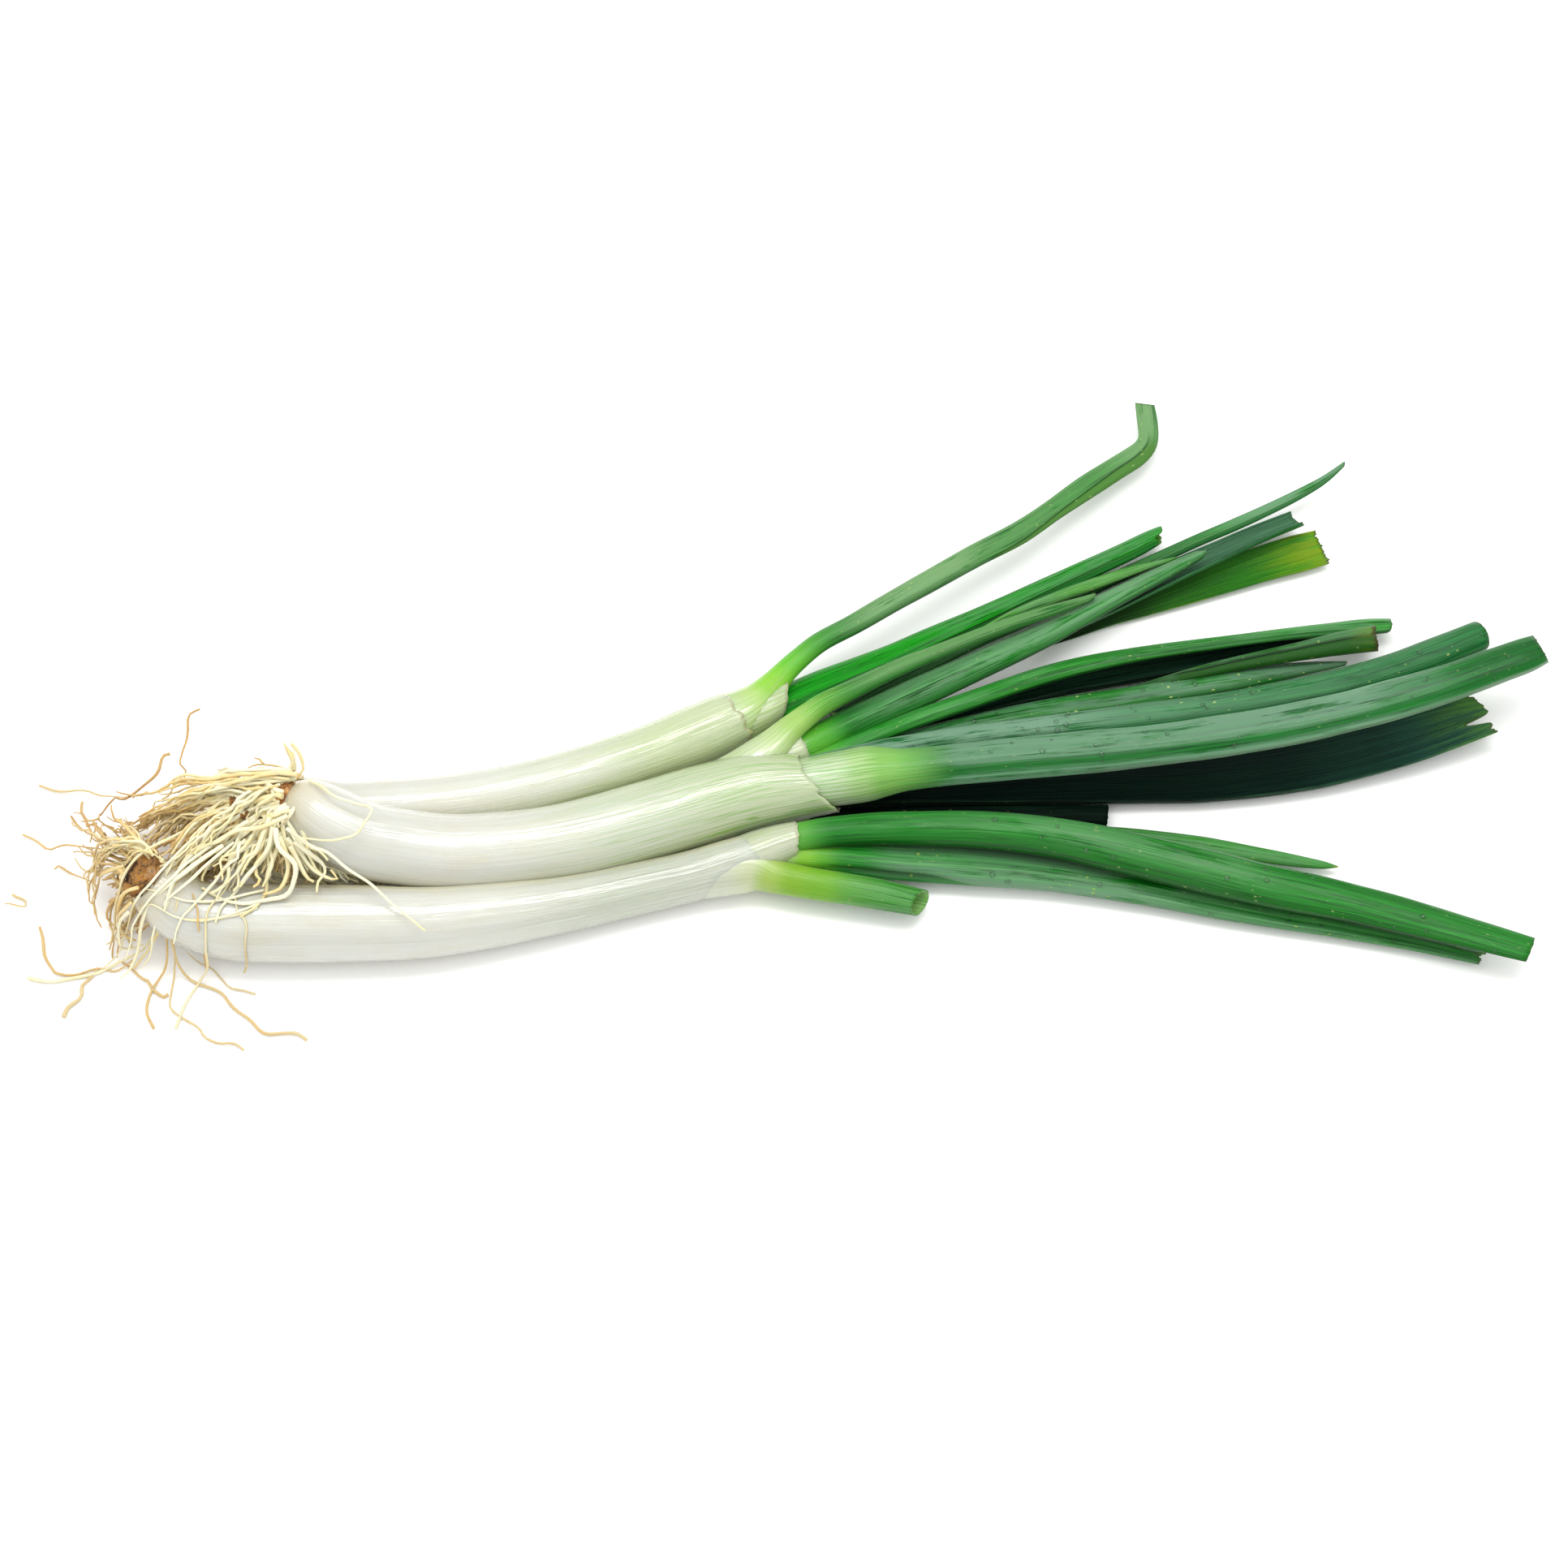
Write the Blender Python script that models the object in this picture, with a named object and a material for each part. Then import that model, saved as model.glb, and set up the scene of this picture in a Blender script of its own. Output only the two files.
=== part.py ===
"""Spring onion bunch: three plants lying side by side, roots at -X, leaves fanning out to +X.

The bunch rests on z = 0 with its origin at the bottom centre of its own box. All the tables
below are in millimetres, and build_mesh() turns them into metres. Each row of a route is
(x, y, z, half width) at one point of the centre line.
"""
import math

import bmesh
import bpy
from mathutils import Vector

MM = 0.001
# Moves the layout so that the frame's origin is at the bottom centre of the whole bunch.
LAYOUT_SHIFT = Vector((-0.8, -2.3, 0.0))
TABLE_Z = 0.0           # the surface that the bunch rests on
ROOT_RADIUS = 0.55      # a single root, about 1.1 mm across
PLATE_THICKNESS = 2.2   # the brown stem plate that the roots grow from
PLATE_GAP = 0.4         # air between the plate and the shank's end

SHANK_SIDES = 20
SHANK_RINGS = 20
LEAF_SIDES = 10
LEAF_RINGS = 12
ROOT_SIDES = 6
ROOT_RINGS = 11
TUFT_SIDES = 12
TUFT_RINGS = 9

COLOURS = {
    "shank": (0.84, 0.87, 0.78),
    "plate": (0.36, 0.19, 0.07),
    "root": (0.80, 0.70, 0.45),
    "sheath": (0.74, 0.83, 0.58),
    "leaf": (0.10, 0.36, 0.09),
    "pale_leaf": (0.25, 0.48, 0.27),
    "shaded_leaf": (0.04, 0.15, 0.06),
    "yellow_leaf": (0.42, 0.52, 0.05),
}

# The white shanks, from the root end to the neck. The flat that each rests on comes from
# clamping the lowest part of the round to the table.
SHANKS = {
    "rear_shank": [
        (-136.5, -30, 8.6, 6.8), (-133, -31, 8.6, 8.0), (-127, -32.5, 8.2, 8.5), (-112, -32, 8.1, 8.5),
        (-92, -30, 8.1, 8.4), (-70, -25.5, 8.1, 8.4), (-47, -18, 8.2, 8.5), (-28, -10.5, 8.4, 8.6),
        (-10, -2, 9.0, 8.0),
    ],
    "middle_shank": [
        (-138, -39, 25.4, 7.4), (-133, -41.5, 25.4, 9.0), (-126, -45.5, 24.6, 10.0),
        (-115, -48.5, 20.5, 10.5), (-104, -49, 16.2, 10.6), (-91, -48.5, 13.2, 10.5),
        (-78, -46.5, 11.0, 10.5), (-60, -43.3, 10.4, 10.6), (-38, -36.8, 10.5, 11.0),
        (-20, -31.2, 10.8, 11.2), (-8, -27.7, 11.4, 10.8),
    ],
    "front_shank": [
        (-173.5, -61.5, 21.5, 7.4), (-170, -63.5, 18.2, 9.0), (-163, -67, 13.0, 9.6),
        (-153, -69, 9.8, 10.1), (-137, -70, 9.3, 10.0), (-118, -70, 9.2, 9.8),
        (-98, -69, 8.6, 9.2), (-77, -65.7, 7.8, 8.3), (-58, -61.4, 7.0, 7.2),
        (-37, -55.5, 6.8, 7.1), (-22, -52, 7.2, 7.2), (-11, -50, 8.0, 7.0),
    ],
}

# Short open collars where the inner leaves come out of the sheath round them.
SHEATHS = {
    "rear_neck_sheath": [(-9, -1.5, 9.2, 7.8), (-4.5, 1, 9.6, 7.0), (-1.5, 3, 10, 5.4)],
    "middle_outer_sheath": [(-6.7, -27.3, 11.5, 10.6), (-4, -26.7, 11.8, 10.3), (-1.2, -26.2, 12, 9.9)],
    "middle_inner_sheath": [(1.2, -25.6, 12.2, 9.3), (10, -24.5, 13, 8.0), (20, -23.5, 13.8, 7.4),
                            (28, -23, 14.2, 6.4)],
    "front_neck_sheath": [(-9.8, -49.8, 8.2, 6.8), (-4, -48.5, 9.0, 6.4), (0.5, -47, 9.8, 4.8)],
}

# Leaves: route, thickness as a share of width, cup (how far the edges rise, as a share of the
# half width), roll in degrees about the leaf's own line, and colour.
LEAVES = {
    "rear_tall_leaf": ([(-1, 10.5, 13.5, 3.6), (8, 19.5, 14, 3.6), (31, 33.5, 14, 3.5), (55, 50, 13, 3.5),
                        (79, 68.5, 10, 3.8), (99, 85, 7, 3.8), (108, 95, 6, 3.1), (109.5, 108, 6, 2.9)],
                       0.55, 0, 0, "leaf"),
    "rear_broad_leaf": ([(3, 7, 8, 4.4), (22, 14.5, 7.6, 4.6), (55, 31, 6.6, 4.4), (79, 45, 6, 3.7),
                         (98, 55.5, 6, 3.3), (109, 62.5, 6, 1.9)], 0.5, 0, 0, "leaf"),
    "middle_slim_leaf": ([(1, -11, 17.2, 4.0), (8, -6, 17.8, 3.2), (22, 3, 17.8, 2.8),
                          (45, 16, 16.5, 2.4), (68, 28, 14.5, 2.1), (86, 36, 13.5, 1.5)],
                         0.6, 0, 0, "leaf"),
    "middle_sliver_leaf": ([(83, 42, 6.2, 1.1), (90, 44.5, 6.8, 1.2), (98, 47, 7.5, 1.2), (111, 51, 8.5, 0.6)],
                           0.6, 0, 0, "leaf"),
    "middle_long_leaf": ([(14, 1, 3.4, 1.6), (31, 12, 3.2, 1.8), (55, 26, 3.2, 1.8), (79, 38, 3.2, 1.8),
                          (103, 50.5, 4.4, 1.9), (122, 60, 5.6, 1.9), (141, 69, 6.6, 1.8),
                          (156, 77, 7.5, 1.6), (165, 83.5, 8.5, 1.0)], 0.6, 0, 0, "leaf"),
    "middle_split_leaf": ([(5, -13, 10.8, 3.6), (17, -7, 11, 4.2), (31, 1, 11, 4.5), (54, 13, 10.6, 4.3),
                           (78, 26, 10.2, 3.8), (102, 41, 10.2, 3.1), (112, 47, 10.2, 2.3),
                           (120, 52, 10.2, 1.0)], 0.55, 0, 0, "pale_leaf"),
    "middle_folded_blade": ([(86, 30, 4.6, 1.2), (102, 39, 5.2, 2.1), (122, 51, 5.8, 2.8),
                             (136, 58.5, 6.4, 3.3), (151, 65.5, 7, 3.8)],
                            0.34, 0.3, 25, "shaded_leaf"),
    "middle_yellow_blade": ([(92, 31.5, 1.4, 1.4), (104, 38, 1.4, 2.4), (118, 43.5, 1.4, 3.6),
                             (132, 49.5, 1.4, 4.6), (148, 56, 1.6, 5.6), (157.5, 59.5, 1.8, 5.2)],
                            0.2, 0, 0, "yellow_leaf"),
    "middle_thin_leaf": ([(15, -14.5, 10.6, 1.9), (31, -7.5, 11, 2.2), (54, 2, 11, 2.4),
                          (77, 12, 10, 2.8), (101, 19.5, 8.4, 2.4), (120, 23.5, 7, 2.0),
                          (139, 27.5, 6, 1.9), (158, 30, 5.2, 2.1), (174, 31, 4.6, 1.4)],
                         0.55, 0, 0, "leaf"),
    "middle_shaded_leaf": ([(35, -5.5, 4.6, 1.8), (54, 2, 4.4, 2.1), (78, 9, 4.2, 2.6), (101, 14, 3.6, 2.7),
                            (120, 19, 3, 2.0), (139, 24, 2.4, 1.6), (157, 29, 2, 1.1)],
                           0.5, 0, 0, "shaded_leaf"),
    "middle_curled_leaf": ([(112, 12, 9, 1.2), (129, 15.5, 9.4, 1.8), (148, 20, 9.4, 2.8),
                            (159, 22, 9, 3.4), (170, 24, 8.6, 3.8)], 0.34, 0.35, 20, "yellow_leaf"),
    "middle_side_leaf": ([(28, -12, 8, 1.5), (45, -5, 7, 2.2), (77, 2, 6, 2.9), (101, 7, 6, 2.9),
                          (129, 12, 5.8, 2.8), (148, 16, 5.2, 2.3), (160, 18.5, 4.8, 1.0)],
                         0.5, 0, 0, "pale_leaf"),
    "middle_high_leaf": ([(33, -13.5, 11.6, 2.0), (54, -10, 11.2, 2.6), (77, -6.5, 10.6, 3.2),
                          (100, -3.5, 10.4, 3.6), (123, 0.5, 10.4, 4.0), (146, 5.5, 11, 4.3),
                          (170, 12, 12, 4.5), (189, 18, 13, 4.2), (198, 22, 14, 3.7)],
                         0.5, 0, 0, "pale_leaf"),
    "middle_main_leaf": ([(29, -23, 14.4, 6.2), (49, -21, 15.2, 5.8), (76, -19, 16, 6.2),
                          (99, -16, 16.5, 6.4), (122, -13.5, 17, 6.4), (144, -9.5, 18, 6.4),
                          (167, -4, 19, 6.4), (191, 4, 20.5, 6.1), (213, 12, 22, 5.5)],
                         0.6, 0, 0, "pale_leaf"),
    "middle_under_leaf": ([(24, -27, 6.2, 3.2), (40, -25.5, 6.0, 4.4), (65, -24, 5.8, 5.2), (99, -20.5, 5.0, 6.2),
                           (122, -19.5, 4.4, 6.7), (145, -16.5, 5, 7.0), (169, -10.5, 6, 7.0),
                           (191, -3, 8, 6.7), (202, 0.5, 9, 5.8)], 0.3, 0.3, 0, "shaded_leaf"),
    "middle_cut_stub": ([(20, -30.4, 2.2, 2.6), (42, -30, 2, 3.1), (65, -30, 2, 3.1), (90, -30.5, 2, 3.1)],
                        0.55, 0, 0, "shaded_leaf"),
    "front_cut_stub": ([(2.5, -54.5, 8, 3.9), (9, -55.6, 8, 4.1), (21, -58, 7.6, 4.0), (38, -61.5, 7.2, 3.8)],
                       0.8, 0, 0, "leaf"),
    "front_slim_leaf": ([(4, -46, 7, 2.8), (12, -46.2, 6, 3.7), (22, -46.6, 5, 4.5), (44, -48, 4, 5.2),
                         (75, -51.2, 3.4, 5.0), (98, -55.5, 3, 4.4), (125, -62, 2.8, 3.6),
                         (151, -66.8, 2.6, 3.0), (178, -73, 2.4, 2.4), (192, -76.8, 2.2, 2.0)],
                        0.42, 0, 0, "leaf"),
    "front_broad_leaf": ([(5, -42.5, 12.4, 3.4), (17, -41.5, 13, 4.0), (35, -41, 13.2, 4.8),
                          (62, -40.7, 12.8, 5.0), (84, -44.5, 11.8, 5.4), (106, -50, 11, 6.1),
                          (129, -55.8, 10.4, 6.4), (151, -61.2, 10, 6.2), (173, -67.8, 10, 5.5),
                          (194, -74.5, 10, 5.0), (204.5, -77.6, 10, 4.3)], 0.36, 0, 0, "leaf"),
    "front_tip_leaf": ([(55, -36.3, 3, 1.8), (94, -37.5, 3, 2.1), (117, -41, 3, 2.1), (139, -45, 3, 1.9),
                        (153, -47.5, 3, 0.7)], 0.5, 0, 0, "leaf"),
}

# The dense part of each root beard, as one lumpy closed form.
TUFTS = {
    "rear_root_tuft": [(-141.5, -28, 9, 5.5), (-150, -27, 8.6, 6.8), (-163, -28.5, 8, 6.6), (-176, -31, 7.2, 5.6),
                       (-187, -34, 6, 3.4)],
    "middle_root_tuft": [(-145.5, -39.5, 25, 5.0), (-151.5, -43, 21, 7.4), (-160, -46, 15, 8.2),
                         (-171, -46, 11, 7.4), (-181, -45.5, 8, 4.8)],
    "front_root_tuft": [(-183, -61.5, 18, 4.5), (-187, -62, 14, 7.0), (-191, -63, 11, 7.4),
                        (-197, -64, 7.5, 6.0), (-202, -64, 5.5, 3.2)],
}

# Single roots that stray from the beards. Most of them lie on the table.
STRAY_ROOTS = {
    "front_root_left": [(-213, -38, 5), (-204, -42.5, 7), (-197, -45, 8.5), (-190, -47, 10), (-186, -50, 12)],
    "front_root_hook": [(-206, -66, 3), (-204.5, -73, 0.8), (-201, -79, 0.8), (-194, -80.5, 0.8),
                        (-187, -79.5, 0.8), (-182, -77, 0.8)],
    "front_root_pale": [(-208, -84, 0.8), (-202, -85, 0.8), (-196, -84, 0.8), (-188, -82, 0.8),
                        (-180, -79.5, 0.8)],
    "front_root_short": [(-198, -93, 0.8), (-194, -89, 0.8), (-192, -87, 0.8)],
    "front_root_bent": [(-169, -86, 0.8), (-171.5, -87, 0.8), (-174, -84, 0.8), (-177, -81.5, 0.8)],
    "front_root_looped": [(-148, -103, 0.8), (-153, -101, 0.8), (-161, -97, 0.8), (-167.5, -92, 0.8),
                          (-168.5, -88, 0.8), (-166, -82, 0.8)],
    "front_root_club": [(-159, -97, 0.8), (-161, -92, 0.8), (-159, -86, 0.8), (-156, -81, 0.8)],
    "front_root_wavy": [(-130, -100, 0.8), (-135, -97.5, 0.8), (-141, -98, 0.8), (-147, -94, 0.8),
                        (-151.5, -90, 0.8)],
    "front_root_thin": [(-140, -86, 0.8), (-146, -86, 0.8), (-152, -82, 0.8)],
    "rear_root_upright": [(-166, 4, 3), (-169.5, 1, 3), (-170, -4, 3.4), (-170.5, -10, 4), (-171, -17, 5),
                          (-169.5, -21, 6.5)],
    "rear_root_crooked": [(-174, -13, 8), (-176.5, -16, 7), (-179, -20, 6), (-184, -24, 5), (-190, -27, 5),
                          (-194, -33, 6)],
    "rear_root_faint": [(-211, -20, 1), (-207, -22, 1), (-200, -22, 1.6), (-195, -24, 2.4)],
}


def spline_point(rows, t):
    """Catmull-Rom point at t, from 0 at the first row to 1 at the last one."""
    spans = len(rows) - 1
    place = min(t * spans, spans - 1e-9)
    i = int(place)
    u = place - i
    before = rows[max(i - 1, 0)]
    after = rows[min(i + 2, spans)]
    here, there = rows[i], rows[i + 1]
    return tuple(
        0.5 * (2 * b + (c - a) * u + (2 * a - 5 * b + 4 * c - d) * u ** 2 + (3 * b - a - 3 * c + d) * u ** 3)
        for a, b, c, d in zip(before, here, there, after)
    )


def frames_along(rows, count):
    """Centre, half width, tangent, level side vector and upward vector at evenly spaced stations."""
    stations = [spline_point(rows, i / (count - 1)) for i in range(count)]
    centres = [Vector(s[:3]) for s in stations]
    frames = []
    for i, centre in enumerate(centres):
        tangent = (centres[min(i + 1, count - 1)] - centres[max(i - 1, 0)]).normalized()
        side = Vector((0, 0, 1)).cross(tangent).normalized()
        up = tangent.cross(side)
        frames.append((centre, stations[i][3], tangent, side, up))
    return frames


def ring_points(centre, half_width, side, up, thickness, cup, roll, sides):
    """One closed section: an ellipse whose edges rise by the cup, turned by the roll."""
    turn = math.radians(roll)
    across = side * math.cos(turn) + up * math.sin(turn)
    above = up * math.cos(turn) - side * math.sin(turn)
    points = []
    for k in range(sides):
        angle = 2 * math.pi * k / sides
        s = math.cos(angle)
        n = math.sin(angle) * thickness + cup * (s * s - 0.5)
        point = centre + across * (half_width * s) + above * (half_width * n)
        point.z = max(point.z, TABLE_Z)
        points.append(point)
    return points


def build_mesh(name, rings, colour):
    """Join the rings with quads, close both ends and make the object."""
    mesh = bpy.data.meshes.new(name)
    bm = bmesh.new()
    rows = [[bm.verts.new((p + LAYOUT_SHIFT) * MM) for p in ring] for ring in rings]
    sides = len(rows[0])
    for low, high in zip(rows, rows[1:]):
        for k in range(sides):
            n = (k + 1) % sides
            bm.faces.new((low[k], low[n], high[n], high[k]))
    bm.faces.new(list(reversed(rows[0])))
    bm.faces.new(rows[-1])
    bmesh.ops.triangulate(bm, faces=bm.faces[:])
    bmesh.ops.recalc_face_normals(bm, faces=bm.faces[:])
    bm.to_mesh(mesh)
    bm.free()
    mesh.shade_smooth()
    material = bpy.data.materials.new(name + "_skin")
    material.use_nodes = True
    shader = material.node_tree.nodes["Principled BSDF"]
    shader.inputs["Base Color"].default_value = (*COLOURS[colour], 1.0)
    shader.inputs["Roughness"].default_value = 0.45
    mesh.materials.append(material)
    obj = bpy.data.objects.new(name, mesh)
    bpy.context.scene.collection.objects.link(obj)
    return obj


def loft(name, rows, colour, sides, rings, thickness=1.0, cup=0.0, roll=0.0):
    sections = [
        ring_points(centre, width, side, up, thickness, cup, roll, sides)
        for centre, width, _, side, up in frames_along(rows, rings)
    ]
    return build_mesh(name, sections, colour)


def make_shanks():
    for name, rows in SHANKS.items():
        loft(name, rows, "shank", SHANK_SIDES, SHANK_RINGS)


def make_plates():
    """A short tapered disc on each shank's root end, square to the shank's own line."""
    for shank, rows in SHANKS.items():
        centre, width, tangent, side, up = frames_along(rows, SHANK_RINGS)[0]
        sections = []
        for depth, share in ((0.0, 0.95), (0.5 * PLATE_THICKNESS, 0.85), (PLATE_THICKNESS, 0.6)):
            middle = centre - tangent * (PLATE_GAP + depth)
            sections.insert(0, ring_points(middle, width * share, side, up, 1.0, 0.0, 0.0, SHANK_SIDES))
        build_mesh(shank.replace("shank", "root_plate"), sections, "plate")


def make_sheaths():
    for name, rows in SHEATHS.items():
        loft(name, rows, "sheath", LEAF_SIDES + 4, 6)


def make_leaves():
    for name, (rows, thickness, cup, roll, colour) in LEAVES.items():
        loft(name, rows, colour, LEAF_SIDES, LEAF_RINGS, thickness, cup, roll)


def make_roots():
    for name, rows in TUFTS.items():
        loft(name, rows, "root", TUFT_SIDES, TUFT_RINGS)
    for name, places in STRAY_ROOTS.items():
        rows = [(x, y, z, ROOT_RADIUS) for x, y, z in places]
        loft(name, rows, "root", ROOT_SIDES, ROOT_RINGS)


def main():
    for old in list(bpy.data.objects):
        bpy.data.objects.remove(old, do_unlink=True)
    make_shanks()
    make_plates()
    make_sheaths()
    make_leaves()
    make_roots()


main()
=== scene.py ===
import math

import bmesh
import bpy
import numpy as np
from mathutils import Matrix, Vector, noise


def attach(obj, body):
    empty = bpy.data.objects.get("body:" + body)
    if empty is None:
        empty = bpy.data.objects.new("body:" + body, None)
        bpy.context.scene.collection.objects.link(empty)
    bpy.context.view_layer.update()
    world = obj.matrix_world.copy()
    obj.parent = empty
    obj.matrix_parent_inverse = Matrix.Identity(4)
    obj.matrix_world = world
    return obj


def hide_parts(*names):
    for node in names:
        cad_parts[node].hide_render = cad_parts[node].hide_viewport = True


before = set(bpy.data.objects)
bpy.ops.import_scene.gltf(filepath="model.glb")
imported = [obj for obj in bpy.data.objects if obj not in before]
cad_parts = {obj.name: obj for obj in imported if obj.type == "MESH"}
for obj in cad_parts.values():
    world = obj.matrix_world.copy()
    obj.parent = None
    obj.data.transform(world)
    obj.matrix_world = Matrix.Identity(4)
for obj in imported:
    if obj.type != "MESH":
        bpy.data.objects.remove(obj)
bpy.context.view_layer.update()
print("frame loaded")

mm = 0.001
bunchShift = np.array([-0.8, -2.3, 0.0])  # the same shift as the solids have, so routes share one layout


def smoothRoute(rows, spacing, soften=2.0):
    # a smooth line through the rows at even distances; every column after z follows along
    rows = np.array(rows, float)
    steps = np.linalg.norm(np.diff(rows[:, :3], axis=0), axis=1)
    place = np.concatenate([[0], np.cumsum(steps)])
    slopes = np.zeros_like(rows)
    spans = np.diff(place)[:, None]
    rises = np.diff(rows, axis=0) / spans
    slopes[0], slopes[-1] = rises[0], rises[-1]
    slopes[1:-1] = (rises[:-1] * spans[1:] + rises[1:] * spans[:-1]) / (spans[1:] + spans[:-1])
    count = max(int(place[-1] / spacing) + 1, 4)
    want = np.linspace(0, place[-1], count)
    i = np.clip(np.searchsorted(place, want, side="right") - 1, 0, len(spans) - 1)
    h = spans[i]
    u = ((want - place[i]) / h[:, 0])[:, None]
    line = ((2 * u ** 3 - 3 * u ** 2 + 1) * rows[i] + (u ** 3 - 2 * u ** 2 + u) * h * slopes[i]
            + (3 * u ** 2 - 2 * u ** 3) * rows[i + 1] + (u ** 3 - u ** 2) * h * slopes[i + 1])
    if soften:
        reach = int(3 * soften / spacing) + 1
        kernel = np.exp(-0.5 * (np.arange(-reach, reach + 1) * spacing / soften) ** 2)
        kernel /= kernel.sum()
        padded = np.concatenate([2 * line[:1] - line[reach:0:-1], line,
                                 2 * line[-1:] - line[-2:-reach - 2:-1]])
        line = np.stack([np.convolve(padded[:, c], kernel, "valid") for c in range(line.shape[1])], axis=1)
    return line


def along(stops, t):
    # a value that changes along the piece: stops are (share of length, value), or one number
    if isinstance(stops, (int, float)):
        return np.full_like(t, float(stops))
    places, values = zip(*stops)
    return np.interp(t, places, values)


def lineFrames(centres):
    tangents = np.gradient(centres, axis=0)
    tangents /= np.linalg.norm(tangents, axis=1)[:, None]
    sides = np.cross([0.0, 0.0, 1.0], tangents)
    sides /= np.linalg.norm(sides, axis=1)[:, None]
    ups = np.cross(tangents, sides)
    return tangents, sides, ups


def wobble(points, size, seed):
    # smooth noise for a list of 3-D points, from -1 to 1
    return np.array([noise.noise(Vector(p) / size + Vector((seed, 3.7 * seed, 0.0))) for p in points])


usualSheet = {"spacing": 1.6, "soften": 2.0, "columns": 44, "cover": 1.0, "thick": 0.8, "roll": 0.0,
              "grooves": [], "uneven": 0.035, "ribs": {"count": 26, "height": 0.02}, "end": {}, "wall": 0.45,
              "floorGap": 0.12}
usualEnd = {"slant": 0.0, "slantAt": 0.25, "torn": 0.0, "ragged": 0.0, "notches": [], "stretch": 9.0}


def wrapSheet(name, piece):
    # a leaf or sheath: a thin sheet wrapped round its route, with a real wall and open ends
    piece = {**usualSheet, **piece}
    route = smoothRoute(piece["route"], piece["spacing"], piece["soften"])
    centres, half = route[:, :3] + bunchShift, np.maximum(route[:, 3], 0.15)
    count, columns = len(route), piece["columns"]
    t = np.linspace(0, 1, count)
    length = np.concatenate([[0], np.cumsum(np.linalg.norm(np.diff(centres, axis=0), axis=1))])
    tangents, sides, ups = lineFrames(centres)
    v = np.linspace(-1, 1, columns)
    cover = along(piece["cover"], t)[:, None]
    thick = along(piece["thick"], t)[:, None]
    roll = np.radians(along(piece["roll"], t))[:, None]
    phi = math.pi * v[None, :] * cover
    opened = np.where(cover < 0.5, np.sin(math.pi * np.minimum(cover, 0.5)), 1.0)
    middle = np.where(cover < 0.5, (1 + np.cos(math.pi * cover)) / 2, 0.0)
    s = np.sin(phi) / opened
    n = thick * (np.cos(phi) - middle) / opened
    pinch = np.ones_like(s)
    for g in piece["grooves"]:
        fade = (np.clip((t - g["start"]) / g.get("ease", 0.08), 0, 1)
                * np.clip((g["end"] - t) / g.get("ease", 0.08), 0, 1))
        at = along(g["at"], t)[:, None]
        pinch -= ((fade * fade * (3 - 2 * fade))[:, None] * g["depth"]
                  * np.exp(-((v[None, :] - at) / g["width"]) ** 2))
    s, n = s * pinch, n * pinch
    seed = piece.get("seed", len(name) * 1.7)
    swell = np.array([noise.noise(Vector((d / 14.0, seed, 0.0))) for d in length])[:, None]
    ripple = np.array([[noise.noise(Vector((d / 26.0, 1.3 * w, seed + 5.0))) for w in v * math.pi]
                       for d in length])
    unevenness = along(piece["uneven"], t)[:, None]
    size = half[:, None] * (1 + unevenness * swell + unevenness * ripple)
    ribs = piece["ribs"]
    size = (size
            + ribs["height"] * np.cos(ribs["count"] * math.pi * v)[None, :]
              * np.minimum(1, half[:, None] / 3))
    across = s * np.cos(roll) - n * np.sin(roll)
    above = s * np.sin(roll) + n * np.cos(roll)
    outer = (centres[:, None, :] + sides[:, None, :] * (size * across)[..., None]
             + ups[:, None, :] * (size * above)[..., None])

    # cut ends: the last stretch moves along the leaf to give a slanted, torn or notched end
    end = {**usualEnd, **piece["end"]}
    shift = end["slant"] * np.cos(math.pi * (v - end["slantAt"]))
    shift = shift + end["torn"] * wobble([(w * 9, 0, 0) for w in v], 1.0, seed)
    shift = shift + end["ragged"] * wobble([(w * 34, 9, 0) for w in v], 1.0, seed)
    for notchAt, notchWidth, notchDepth in end["notches"]:
        shift = shift - notchDepth * np.exp(-((v - notchAt) / notchWidth) ** 2)
    stretch = end["stretch"]
    fadeIn = np.clip((length - length[-1] + stretch) / stretch, 0, 1) ** 1.3
    outer += tangents[:, None, :] * (fadeIn[:, None] * shift[None, :])[..., None]
    fromCut = (length[-1] - length)[:, None] + (1 - fadeIn[:, None]) * shift[None, :]

    du = np.gradient(outer, axis=0)
    dv = np.gradient(outer, axis=1)
    normals = np.cross(dv, du)
    normals /= np.maximum(np.linalg.norm(normals, axis=2), 1e-09)[..., None]
    mid = (count // 2, columns // 2)
    outward = outer[mid] - centres[mid[0]]
    if np.dot(normals[mid], outward) * (1 if np.linalg.norm(outward) > 0.05 else 0) < 0:
        normals = -normals
    wall = np.minimum(along(piece["wall"], t)[:, None], 0.4 * thick * half[:, None])
    inner = outer - normals * wall[..., None]
    floorGap = piece["floorGap"]
    outer[..., 2] = np.maximum(outer[..., 2], floorGap)
    inner[..., 2] = np.maximum(inner[..., 2], floorGap + 0.1)

    grid = np.arange(count * columns).reshape(count, columns)
    far = grid + count * columns
    faces = []

    def patch(a, b, c, d):
        faces.extend(zip(a.ravel().tolist(), b.ravel().tolist(), c.ravel().tolist(), d.ravel().tolist()))

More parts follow.
